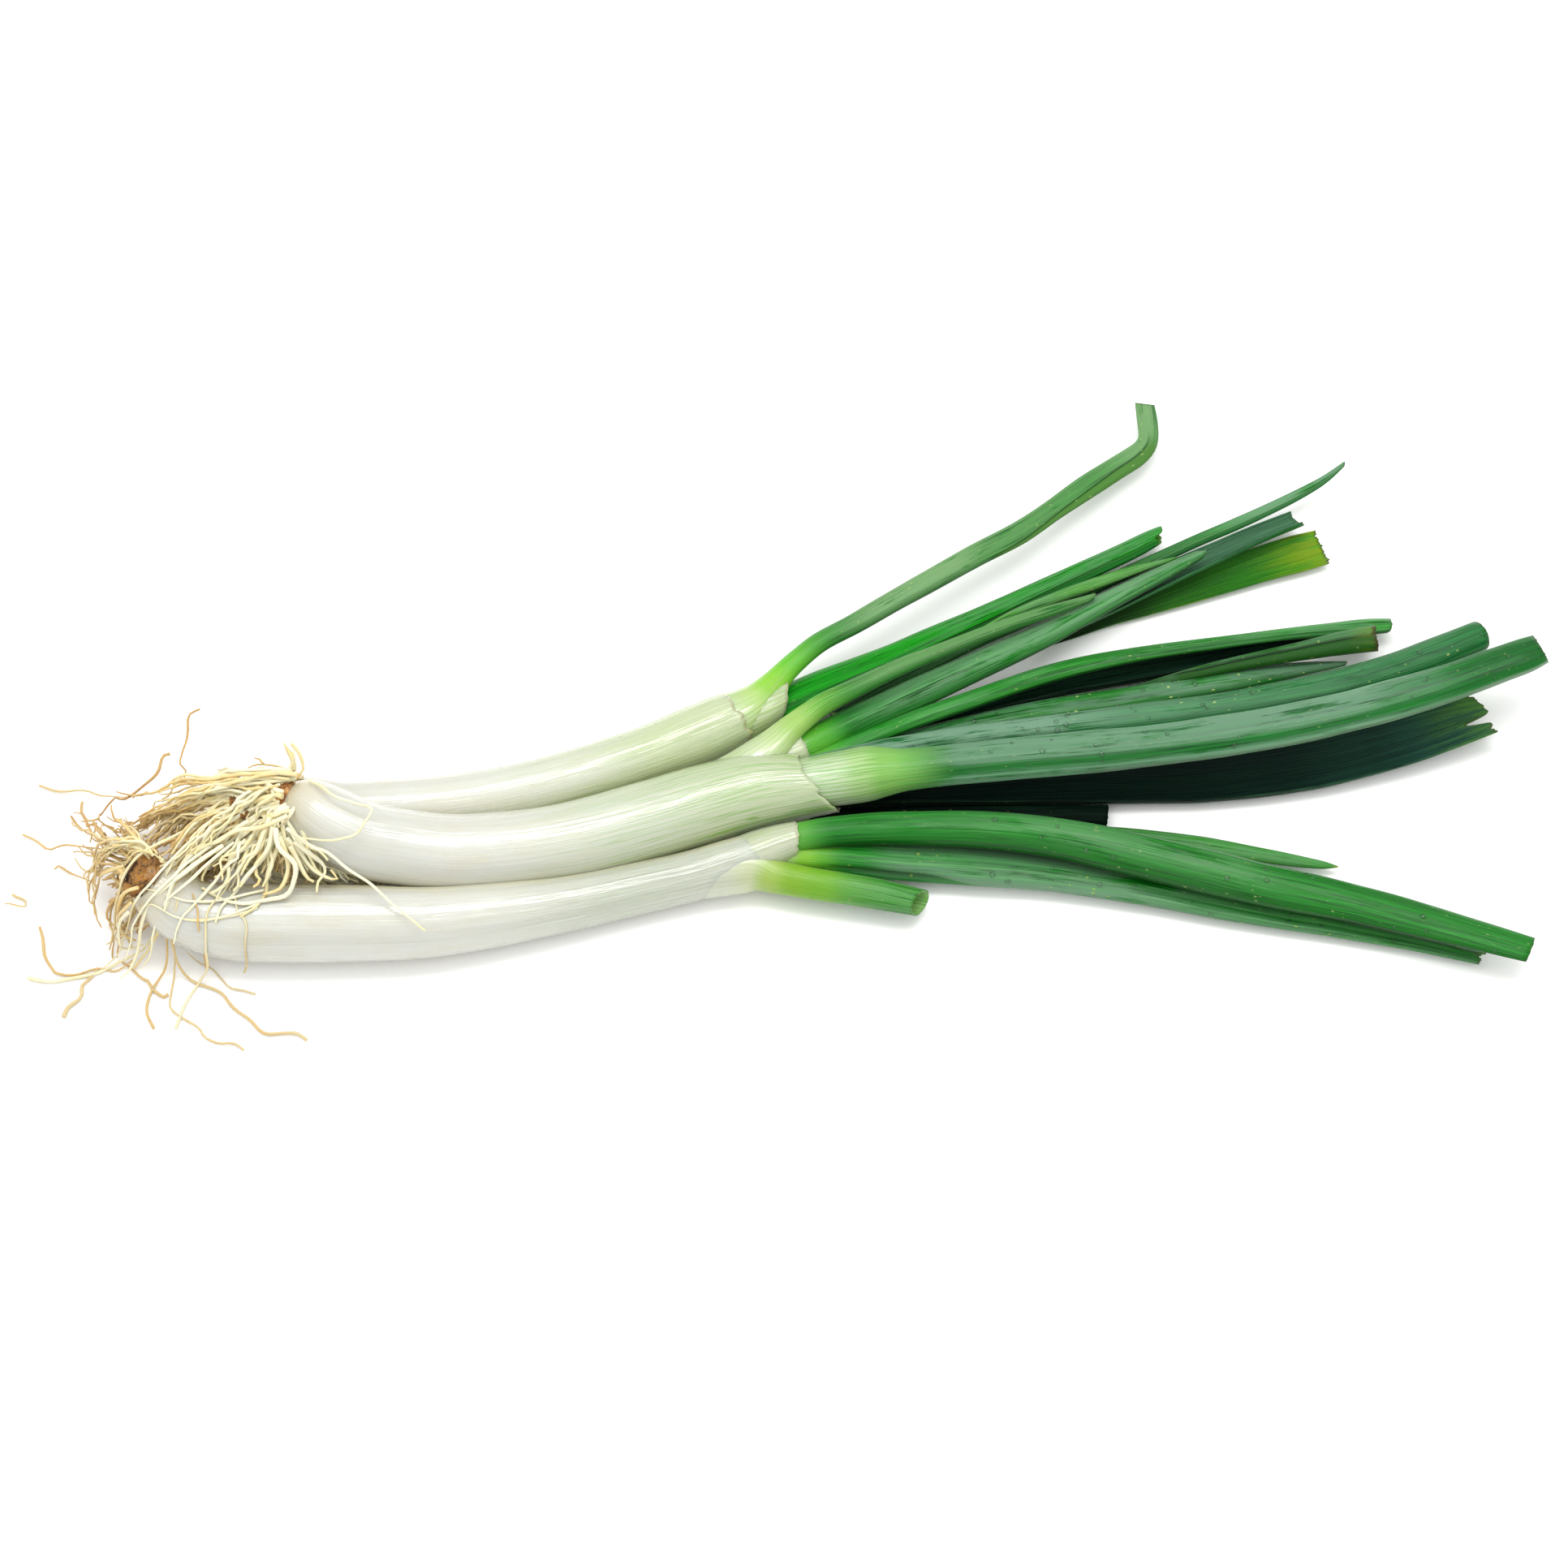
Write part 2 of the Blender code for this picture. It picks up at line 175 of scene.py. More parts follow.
    patch(grid[:-1, :-1], grid[:-1, 1:], grid[1:, 1:], grid[1:, :-1])
    patch(far[:-1, :-1], far[1:, :-1], far[1:, 1:], far[:-1, 1:])
    patch(grid[:-1, 0], grid[1:, 0], far[1:, 0], far[:-1, 0])
    patch(grid[:-1, -1], far[:-1, -1], far[1:, -1], grid[1:, -1])
    patch(grid[0, :-1], far[0, :-1], far[0, 1:], grid[0, 1:])
    patch(grid[-1, :-1], grid[-1, 1:], far[-1, 1:], far[-1, :-1])
    points = np.concatenate([outer.reshape(-1, 3), inner.reshape(-1, 3)]) * mm
    mesh = bpy.data.meshes.new(name)
    mesh.from_pydata(points.tolist(), [], faces)
    girth = math.pi * half.mean() * (0.5 + 0.5 * float(np.mean(thick)))

    def onGrid(*parts):
        return np.stack([np.broadcast_to(part, (count, columns)) for part in parts], axis=-1).reshape(-1, 3)

    stripOuter = onGrid(length[:, None], v[None, :] * girth, 0.0)
    stripInner = stripOuter + [0, 0, 1]
    placeOuter = onGrid(v[None, :], fromCut, t[:, None])
    attributes = {"strip": np.concatenate([stripOuter, stripInner]),
                  "place": np.concatenate([placeOuter, placeOuter])}
    for key, values in attributes.items():
        layer = mesh.attributes.new(key, "FLOAT_VECTOR", "POINT")
        layer.data.foreach_set("vector", values.astype(np.float32).ravel())
    closeUp = bmesh.new()
    closeUp.from_mesh(mesh)
    bmesh.ops.recalc_face_normals(closeUp, faces=closeUp.faces[:])
    closeUp.to_mesh(mesh)
    closeUp.free()
    mesh.shade_smooth()
    return placePiece(name, mesh, piece)


def placePiece(name, mesh, piece):
    thing = bpy.data.objects.new(name, mesh)
    bpy.context.scene.collection.objects.link(thing)
    mesh.materials.clear()
    mesh.materials.append(piece["material"])
    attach(thing, "root")
    if piece.get("replaces"):
        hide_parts(*piece["replaces"])
    return thing


class Field:
    # a node's output that can be added, multiplied and compared: each sign makes one math node
    def __init__(self, socket):
        self.socket, self.tree = socket, socket.id_data


def feed(socket, value):
    # what goes into a socket: another node's output, or a number or colour of its own
    if isinstance(value, Field):
        value.tree.links.new(value.socket, socket)
    elif value is not None:
        colour = socket.type == "RGBA" and len(value) == 3
        socket.default_value = (*value, 1.0) if colour else value


def wire(tree, kind, settings=None, values=(), **named):
    # one node, its choices, and what goes into its sockets, in their order or by name
    made = tree.nodes.new(kind)
    for key, value in (settings or {}).items():
        setattr(made, key, value)
    for socket, value in zip(made.inputs, values):
        feed(socket, value)
    for label, value in named.items():
        wanted = label.replace("_", " ")
        feed(next((socket for socket in made.inputs if socket.enabled and socket.name == wanted)), value)
    return made


def out(made, label=None):
    return Field(next((socket for socket in made.outputs if socket.enabled and label in (None, socket.name))))


def step(tree, kind, settings=None, **named):
    # one node, and its first output
    return out(wire(tree, kind, settings, **named))


def gather(kind, settings, *values, **named):
    # one node in the tree that its values come from
    tree = next((value.tree for value in values if isinstance(value, Field)))
    return out(wire(tree, kind, settings, values, **named))


def maths(operation, *values):
    return gather("ShaderNodeMath", {"operation": operation}, *values)


for sign, operation in (
        ("add", "ADD"), ("sub", "SUBTRACT"), ("mul", "MULTIPLY"), ("truediv", "DIVIDE"), ("pow", "POWER"),
        ("gt", "GREATER_THAN"), ("lt", "LESS_THAN")):
    setattr(Field, f"__{sign}__", lambda a, b, operation=operation: maths(operation, a, b))
    setattr(Field, f"__r{sign}__", lambda a, b, operation=operation: maths(operation, b, a))


def joined(x, y, z):
    return gather("ShaderNodeCombineXYZ", None, x, y, z)


def split(value):
    return [Field(socket) for socket in wire(value.tree, "ShaderNodeSeparateXYZ", Vector=value).outputs]


def vector(operation, a, b=None, **named):
    return gather("ShaderNodeVectorMath", {"operation": operation}, a, b, **named)


def scaled(value, factor):
    return vector("SCALE", value, Scale=factor)


def mix(share, a, b):
    return step(share.tree, "ShaderNodeMix", {"data_type": "RGBA"}, Factor=share, A=a, B=b)


def ramp(share, stops, smooth=True):
    made = wire(share.tree, "ShaderNodeValToRGB", values=(share,))
    made.color_ramp.interpolation = "EASE" if smooth else "LINEAR"
    elements = made.color_ramp.elements
    while len(elements) > 1:
        elements.remove(elements[-1])
    for i, (place, value) in enumerate(stops):
        spot = elements[0] if i == 0 else elements.new(place)
        spot.position = place
        colour = (value, value, value) if isinstance(value, (int, float)) else value
        spot.color = (*colour, 1.0)
    return out(made)


def between(value, low, high):
    # 0 below low, 1 above high, eased in between
    return step(value.tree, "ShaderNodeMapRange", {"interpolation_type": "SMOOTHSTEP"}, Value=value,
                From_Min=low, From_Max=high)


def outside(value, low, high):
    # 1 below low, 0 above high
    return 1.0 - between(value, low, high)


def cloud(spot, scale, detail, roughness=0.5, distortion=0.0):
    return step(spot.tree, "ShaderNodeTexNoise", Vector=spot, Scale=scale, Detail=detail,
                Roughness=roughness, Distortion=distortion)


def grain(x, y, z, detail=3.0, roughness=0.55, distortion=0.0):
    return cloud(joined(x, y, z), 1.0, detail, roughness, distortion)


def cells(spot, scale):
    # scattered cells: how far the nearest one's middle is, and that cell's random tone
    made = wire(spot.tree, "ShaderNodeTexVoronoi", Vector=spot, Scale=scale)
    return out(made, "Distance"), out(made, "Color")


def bumps(height, strength, distance):
    return step(height.tree, "ShaderNodeBump", Height=height, Strength=strength, Distance=distance)


def startMaterial(name, *attributes):
    # a new material, its shader, and the three parts of each mesh attribute that it follows
    material = bpy.data.materials.new(name)
    material.use_nodes = True
    tree = material.node_tree
    parts = [split(out(wire(tree, "ShaderNodeAttribute", {"attribute_name": key}), "Vector"))
             for key in attributes]
    return material, tree.nodes["Principled BSDF"], *parts


def dress(shader, **values):
    for label, value in values.items():
        feed(shader.inputs[label.replace("_", " ")], value)


def veinLines(distance, around, seed, count):
    # thin lines that run along the skin, drift and merge: the level lines of a long stretched grain
    lines = None
    for scale, level, width in ((0.55, 0.5, 0.02), (0.95, 0.46, 0.026), (1.3, 0.54, 0.026))[:count]:
        field = grain(distance * 0.009, around * scale, seed + 7 * scale, 1.5, 0.5)
        line = outside(maths("ABSOLUTE", field - level), 0.004, width)
        lines = line if lines is None else maths("MAXIMUM", lines, line)
    return lines


usualLeaf = {
    "seed": 1.0, "bloomFrom": 0.5, "bloomEdge": 0.12,
    "bloomSheenBand": [(0.0, 0.15), (0.3, 0.35), (0.45, 1.0), (0.7, 1.0), (1.0, 0.3)],
    "bloomAlong": [(0.0, 0.0), (0.2, 0.7), (1.0, 0.8)], "bloom": 0.7, "bloomColour": (0.15, 0.28, 0.17),
    "shadeAlong": [(0.0, 1.0), (1.0, 1.0)], "shadeBand": [(0.0, 0.7), (0.25, 0.8), (0.4, 1.0), (1.0, 1.0)],
    "folds": [], "baseEnd": 40.0, "baseStreak": 14.0,
    "base": [(0.0, (0.46, 0.52, 0.36)), (0.5, (0.32, 0.48, 0.15)), (1.0, (0.08, 0.36, 0.02))],
    "baseHold": 0.7, "ribWander": 3.0, "ribCount": 105.0, "baseRibs": 0.35, "ribColour": (0.2, 0.4, 0.09),
    "dots": 0.3, "dotColour": (0.32, 0.42, 0.14), "innerDark": (0.02, 0.11, 0.01), "inner": (0.1, 0.3, 0.03),
    "innerShadeAlong": [(0.0, 1.0), (1.0, 1.0)], "dryReach": 0.7, "dry": 0.6, "dryColour": (0.07, 0.08, 0.02),
    "roughness": 0.3, "bumpRibs": 110.0, "specular": 0.14, "sheen": 0.08, "relief": 0.5,
}
usualFold = {"reach": 0.7, "strength": 0.8, "lineWidth": 0.035, "lineStrength": 0.6,
             "line": (0.17, 0.34, 0.12)}


def leafSkin(name, look):
    # waxy leaf: a pale base turning green, fine parallel veins, grey bloom that doubles as a painted
    # highlight, painted shade on the side away from the light and below folds, dots and a dry cut end
    look = {**usualLeaf, **look}
    material, shader, strip, place = startMaterial(name, "strip", "place")
    distance, around, inside = strip
    turn, fromCut, share = place
    seed = look["seed"]
    veins = grain(distance * 0.014, around * 0.85, seed, 4, 0.68)
    fibres = grain(distance * 0.045, around * 3.0, seed + 3, 3, 0.7)
    patches = grain(distance * 0.045, around * 0.24, seed + 9, 5, 0.62, 0.35)
    streaks = veins * 0.5 + fibres * 0.5
    green = ramp(streaks, [(0.4, look["dark"]), (0.5, look["green"]), (0.6, look["bright"])])
    aroundShare = turn * 0.5 + 0.5

    # grey wax bloom in patches; the band round the leaf puts it where the light falls, so it also paints a
    # highlight along the top and, on some leaves, a pale floor reflection along the lower rim
    bloomSheenShare = patches * 0.62 + streaks * 0.55
    bloomFrom = look["bloomFrom"]
    bloomSheenShare = between(bloomSheenShare, bloomFrom, bloomFrom + look["bloomEdge"])
    sheenAround = ramp(aroundShare, look["bloomSheenBand"])
    bloomAlong = ramp(share, look["bloomAlong"])
    bloomSheenShare = bloomSheenShare * sheenAround * bloomAlong * look["bloom"]
    colour = mix(bloomSheenShare, green, look["bloomColour"])
    # painted light and shade: the colour is darkened along the leaf where other leaves shade it and round the
    # side turned from the light, and lifted where a lower rim catches the light
    tone = ramp(share, look["shadeAlong"]) * ramp(aroundShare, look["shadeBand"])
    colour = scaled(colour, tone)

    # a fold along the leaf: the side below it gets painted shade, a darker green (on middleMainLeaf's lower
    # rim a pale painted floor reflection instead), and the fold itself a thin line, pale on some leaves as a
    # painted highlight and dark on others as painted crease shade
    for fold in look["folds"]:
        fold = {**usualFold, **fold}
        first, last = fold["share"]
        slope = (fold["at"][1] - fold["at"][0]) / (last - first)
        path = share * slope + (fold["at"][0] - slope * first)
        aside = turn - path
        here = between(share, first, first + 0.04) * outside(share, last - 0.02, last + 0.02)
        reach = fold["reach"]
        below = outside(aside, -0.02, 0.02) * between(aside, -reach - 0.1, -reach)
        colour = mix(below * here * fold["strength"], colour, fold["below"])
        line = outside(maths("ABSOLUTE", aside), 0.006, fold["lineWidth"])
        colour = mix(line * here * fold["lineStrength"], colour, fold["line"])

    tip = look.get("tip")
    if tip:
        tipShare = (between(share, tip["from"], 1.0) * between(patches * 0.5 + streaks * 0.5, 0.4, 0.56)
                    * tip["amount"])
        colour = mix(tipShare, colour, tip["colour"])

    # the base, in millimetres from the start of the piece
    baseEnd = look["baseEnd"]
    baseShare = (distance + (streaks - 0.5) * look["baseStreak"]) / baseEnd
    baseColour = ramp(baseShare, look["base"])
    baseCover = ramp(baseShare, [(0.0, 1.0), (look["baseHold"], 1.0), (1.0, 0.0)])
    wet = outside(baseShare, 0.38, 0.58)
    ribWave = maths("SINE", veins * look["ribWander"] + turn * look["ribCount"])
    paleVeins = between(fibres * 0.9 + ribWave, 0.95, 1.45)
    paleVeins = maths("MAXIMUM", paleVeins, veinLines(distance, around, seed, 2))
    baseColour = mix(paleVeins * look["baseRibs"], baseColour, look["ribColour"])
    colour = mix(baseCover, colour, baseColour)

    # pale dots and scuffs
    toDot, dotTone = cells(joined(distance * 0.34, around * 0.62, seed), 1.25)
    ragged = (fibres - 0.5) * 0.25 + toDot + (dotTone * -0.42 + 0.33)
    dotPick = between(dotTone, 0.6, 0.64)
    dotWhere = grain(distance * 0.03, around * 0.12, seed + 31, 2)
    dotShare = outside(ragged, 0.1, 0.26) * dotPick * look["dots"] * between(dotWhere, 0.42, 0.6)
    colour = mix(dotShare, colour, look["dotColour"])

    # the inner face, with painted shade along it where other leaves cover it, then the dry line along a cut
    innerColour = ramp(streaks, [(0.4, look["innerDark"]), (0.6, look["inner"])])
    innerColour = scaled(innerColour, ramp(share, look["innerShadeAlong"]))
    if tip:
        innerColour = mix(tipShare, innerColour, tip["colour"])
    colour = mix(inside, colour, innerColour)
    dryNoise = grain(around * 1.6, distance * 0.5, seed + 20, 3)
    dryReach = fromCut + (dryNoise - 0.5) * 2.2
    dry = outside(dryReach, 0.1, look["dryReach"])
    colour = mix(dry * look["dry"], colour, look["dryColour"])
    rough = bloomSheenShare * 0.2 + look["roughness"] + (fibres - 0.5) * 0.3 - baseCover * 0.12
    height = maths("SINE", turn * look["bumpRibs"]) * 0.22 + fibres * 1.3 + dotShare * 1.2
    dress(shader, Base_Color=colour, Roughness=rough, Specular_IOR_Level=look["specular"],
          Sheen_Weight=look["sheen"], Sheen_Roughness=0.35, Sheen_Tint=(0.85, 1.0, 0.88),
          Normal=bumps(height, look["relief"], 0.00016), Coat_Normal=wetFilm(distance, around, seed))
    if baseEnd > 12:
        dress(shader, Specular_IOR_Level=wet * 0.5 + look["specular"], Subsurface_Weight=baseCover * 0.5,
              Subsurface_Radius=(1.0, 0.85, 0.5), Subsurface_Scale=0.0025, Coat_Weight=wet * 0.9 + 0.1,
              Coat_Roughness=0.06, Coat_IOR=1.7)
    return material


def wetFilm(distance, around, seed):
    # the wet film is smoother than the skin: long shallow waves that break the shine into streaks
    return bumps(grain(distance * 0.022, around * 0.8, seed + 50, 2.5, 0.55), 1.0, 0.0003)


usualShank = {
    "seed": 2.0, "cream": (0.53, 0.52, 0.425), "white": (0.55, 0.555, 0.505), "rootEnd": (0.55, 0.48, 0.31),
    "wash": 0.75, "pale": (0.44, 0.525, 0.305), "veinWander": 14.0, "veinCount": 120.0, "veins": 0.5,
    "vein": (0.26, 0.42, 0.09), "bounceGlowBand": [(0.0, 0.5), (0.2, 0.0), (1.0, 0.0)], "bounceGlow": (0.76, 0.7, 0.44),
    "freckles": 0.5, "rimStrength": 0.4, "rim": (0.5, 0.44, 0.24), "roughness": 0.0, "soft": 0.6,
    "coat": 1.0, "relief": 0.6,
}


def shankSkin(name, look):
    # pearly wet skin: white at the root end, green lines that gather towards the neck, with painted green
    # light on the flanks, a painted highlight along the top and painted warm bounce light low down
    look = {**usualShank, **look}
    material, shader, strip, place = startMaterial(name, "strip", "place")
    distance, around, inside = strip
    turn, fromCut, share = place
    seed = look["seed"]
    lines = grain(distance * 0.012, around * 0.5, seed, 4, 0.6)
    fibres = grain(distance * 0.035, around * 4.2, seed + 4, 4, 0.6)
    clouds = grain(distance * 0.045, around * 0.14, seed + 8, 4, 0.6, 0.4)
    aroundShare = turn * 0.5 + 0.5
    white = ramp(clouds * 0.6 + fibres * 0.4, [(0.36, look["cream"]), (0.56, look["white"])])
    rootEnd = outside((fibres - 0.5) * 9.0 + distance, 1.5, 15.0)
    white = mix(rootEnd * 0.65, white, look["rootEnd"])
    towardsNeck = between(distance, look["greenFrom"], look["greenFull"])
    # painted light: the green wash and veins are stronger on the flanks, as painted green bounce light, and
    # weaker along the top, as a painted highlight
    flankLight = ramp(aroundShare, look["flankLight"])
    wash = flankLight * (clouds * 0.8 + 0.6)
    wash = mix(between(distance, look["greenFull"] - 25, look["greenFull"] + 5), wash, (1.0, 1.0, 1.0))
    colour = mix(wash * towardsNeck * look["wash"], white, look["pale"])
    veinWave = maths("SINE", lines * look["veinWander"] + turn * look["veinCount"])
    veins = between((fibres - 0.5) * 2.6 + veinWave, 0.85, 1.4)
    veins = maths("MAXIMUM", veins * 0.7, veinLines(distance, around, seed, 3))
    veins = veins * between(distance, look["greenFrom"] + 4, look["greenFull"]) * (flankLight * 0.6 + 0.4)
    colour = mix(veins * look["veins"], colour, look["vein"])
    # painted warm bounce light, low on the shank where it lies against the floor and its neighbours
    bounceGlow = ramp(aroundShare, look["bounceGlowBand"])
    colour = mix(bounceGlow, colour, look["bounceGlow"])

    # a few brown freckles towards the neck
    toFreckle, freckleTone = cells(joined(distance * 0.06, around * 0.13, seed), 1.0)
    freckle = outside((fibres - 0.5) * 0.07 + toFreckle, 0.015, 0.07) * between(freckleTone, 0.5, 0.56)
    colour = mix(freckle * look["freckles"] * towardsNeck, colour, (0.36, 0.27, 0.09))
    rim = outside((fibres - 0.5) * 2.5 + fromCut, 0.1, 1.3)
    colour = mix(rim * look["rimStrength"], colour, look["rim"])
    height = fibres * 0.8 + lines * 1.6 + veins * (towardsNeck * 0.45 + 0.1)
    dress(shader, Base_Color=colour, Roughness=fibres * 0.42 + look["roughness"], Specular_IOR_Level=0.7,
          Subsurface_Weight=look["soft"], Subsurface_Radius=(1.0, 0.85, 0.5), Subsurface_Scale=0.0035,
          Coat_Weight=look["coat"], Coat_Roughness=0.05, Coat_IOR=1.7,
          Normal=bumps(height, look["relief"], 0.00028), Coat_Normal=wetFilm(distance, around, seed))
    return material


rearShank = {
    "route": [(-138, -29.8, 8.8, 6.6), (-135.5, -30.2, 8.8, 7.6), (-131, -31.2, 8.6, 8.3),
        (-125, -32.4, 8.4, 8.5), (-112, -32, 8.4, 8.5), (-92, -30, 8.4, 8.5), (-70, -25.5, 8.4, 8.5),
        (-47, -18, 8.6, 8.6), (-33, -12.4, 8.8, 8.65), (-28, -10.1, 8.95, 8.95), (-21, -7.1, 9.3, 9.1),
        (-16, -4.8, 9.8, 8.95), (-12.6, -3.2, 10.2, 8.55)],
    "thick": 0.97, "columns": 80, "spacing": 1.3, "wall": [(0, 3.6), (0.9, 3.6), (1, 0.4)], "uneven": 0.012,
    "soften": 1.4, "ribs": {"count": 60, "height": 0.01},
    "end": {"slant": 1.6, "slantAt": -0.75, "ragged": 1.0, "torn": 1.6, "stretch": 6.0}, "slot": "shank",
    "replaces": ["rear_shank", "rear_neck_sheath"], "seed": 1.5,
    "material": shankSkin("rear shank skin",
                          {"seed": 4.0, "greenFrom": 30.0, "greenFull": 104.0, "wash": 0.95, "veins": 0.45,
                           "pale": (0.435, 0.505, 0.28),
                           "flankLight": [(0.0, 1.0), (0.2, 1.0), (0.33, 0.8), (0.42, 0.35), (0.52, 0.45),
                                     (0.62, 0.7), (1.0, 0.9)], "freckles": 0.8,
                           "bounceGlowBand": [(0.0, 0.9), (0.14, 0.6), (0.22, 0.0), (1.0, 0.0)],
                           "rimStrength": 0.45, "rim": (0.42, 0.33, 0.14)}),
}

middleShank = {
    "route": [(-135.6, -36.6, 26.2, 3.8), (-134.4, -37.6, 26.0, 5.6), (-131.8, -39.8, 25.8, 7.6),
        (-128.2, -42.6, 25.2, 9.0), (-123, -45.8, 23.6, 10.0), (-115, -48.6, 20.4, 10.6),
        (-104, -49, 16.4, 10.7), (-91, -48.9, 13.4, 11.0), (-78, -47.2, 11.6, 11.1),
        (-60, -43.9, 11.0, 11.15), (-38, -37.4, 11.1, 11.4), (-20, -31.3, 11.0, 11.2),
        (-8, -27.9, 11.4, 10.9), (2, -26.5, 11.8, 9.8), (10, -25.9, 12.2, 8.6)],
    "thick": 0.97, "columns": 92, "spacing": 1.3, "wall": [(0, 3.6), (0.9, 3.6), (1, 0.4)], "uneven": 0.012,
    "soften": 1.4, "ribs": {"count": 64, "height": 0.014},
    "end": {"slant": -5.2, "slantAt": 0.22, "ragged": 0.7, "torn": 0.9, "stretch": 26.0}, "slot": "shank",
    "replaces": ["middle_shank", "middle_outer_sheath"], "seed": 7.5,
    "material": shankSkin("middle shank skin",
                          {"seed": 11.0, "greenFrom": 45.0, "greenFull": 128.0, "wash": 0.95, "veins": 0.95,
                           "veinCount": 120.0, "vein": (0.17, 0.37, 0.05), "pale": (0.435, 0.5, 0.3),
                           "flankLight": [(0.0, 1.0), (0.17, 1.0), (0.3, 0.85), (0.4, 0.4), (0.5, 0.5),
                                     (0.62, 0.9), (1.0, 0.9)], "freckles": 0.25,
                           "bounceGlowBand": [(0.0, 0.9), (0.13, 0.8), (0.2, 0.15), (0.24, 0.0), (0.62, 0.0),
                                        (0.72, 0.5), (1.0, 0.8)], "rimStrength": 0.35,
                           "rim": (0.56, 0.58, 0.36)}),
}

frontShank = {
    "route": [(-173.6, -61.4, 21.6, 6.4), (-172.2, -62.2, 20.4, 7.8), (-169, -64.0, 17.4, 9.0),
        (-163, -67, 13.2, 9.6), (-153, -68.5, 10.5, 10.6), (-137, -69.2, 10.5, 10.8),
        (-118, -69.1, 10.3, 10.7), (-98, -68.4, 9.6, 9.9), (-77, -65.2, 8.7, 8.8), (-58, -61.1, 7.6, 7.75),
        (-37, -55.6, 7.2, 7.25), (-30, -53.9, 7.3, 7.2), (-24, -52.3, 7.5, 7.2), (-15, -49.5, 8.3, 7.0),
        (-8, -47.0, 9.1, 6.3), (-3, -45.4, 10.0, 5.4), (1.5, -44.1, 10.9, 4.7)],
    "thick": 0.97, "columns": 80, "spacing": 1.3, "wall": [(0, 3.6), (0.9, 3.6), (1, 0.4)], "uneven": 0.012,
    "soften": 1.4, "ribs": {"count": 56, "height": 0.01},
    "end": {"slant": 2.2, "slantAt": 0.25, "ragged": 0.3, "torn": 0.3, "stretch": 12.0}, "slot": "shank",
    "replaces": ["front_shank", "front_neck_sheath"], "seed": 3.5,
    "material": shankSkin("front shank skin",
                          {"seed": 23.0, "greenFrom": 80.0, "greenFull": 138.0, "wash": 0.95, "veins": 0.2,
                           "pale": (0.475, 0.505, 0.415),
                           "flankLight": [(0.0, 0.9), (0.3, 0.9), (0.5, 0.6), (0.7, 0.9), (1.0, 0.9)],
                           "freckles": 0.15, "relief": 0.9,
                           "bounceGlowBand": [(0.0, 0.3), (0.18, 0.0), (0.56, 0.0), (0.65, 0.7), (0.8, 0.9),
                                        (1.0, 0.5)], "rimStrength": 0.6, "rim": (0.6, 0.58, 0.42)}),
}

for name, piece in (("rearShank", rearShank), ("middleShank", middleShank), ("frontShank", frontShank)):
    wrapSheet(name, piece)
print("shanks made")

freshGreen = {"dark": (0.001, 0.06, 0.003), "green": (0.004, 0.15, 0.007), "bright": (0.028, 0.25, 0.022)}
deepGreen = {"dark": (0.001, 0.048, 0.008), "green": (0.006, 0.115, 0.016), "bright": (0.028, 0.185, 0.036)}
# near-black greens: painted shadow for the leaf and the stub that lie deep under the others
paintedShadowGreen = {"dark": (0.0005, 0.003, 0.002), "green": (0.0012, 0.006, 0.003),
              "bright": (0.003, 0.014, 0.007)}
yellowGreen = {"dark": (0.006, 0.09, 0.002), "green": (0.03, 0.15, 0.003), "bright": (0.11, 0.22, 0.006)}

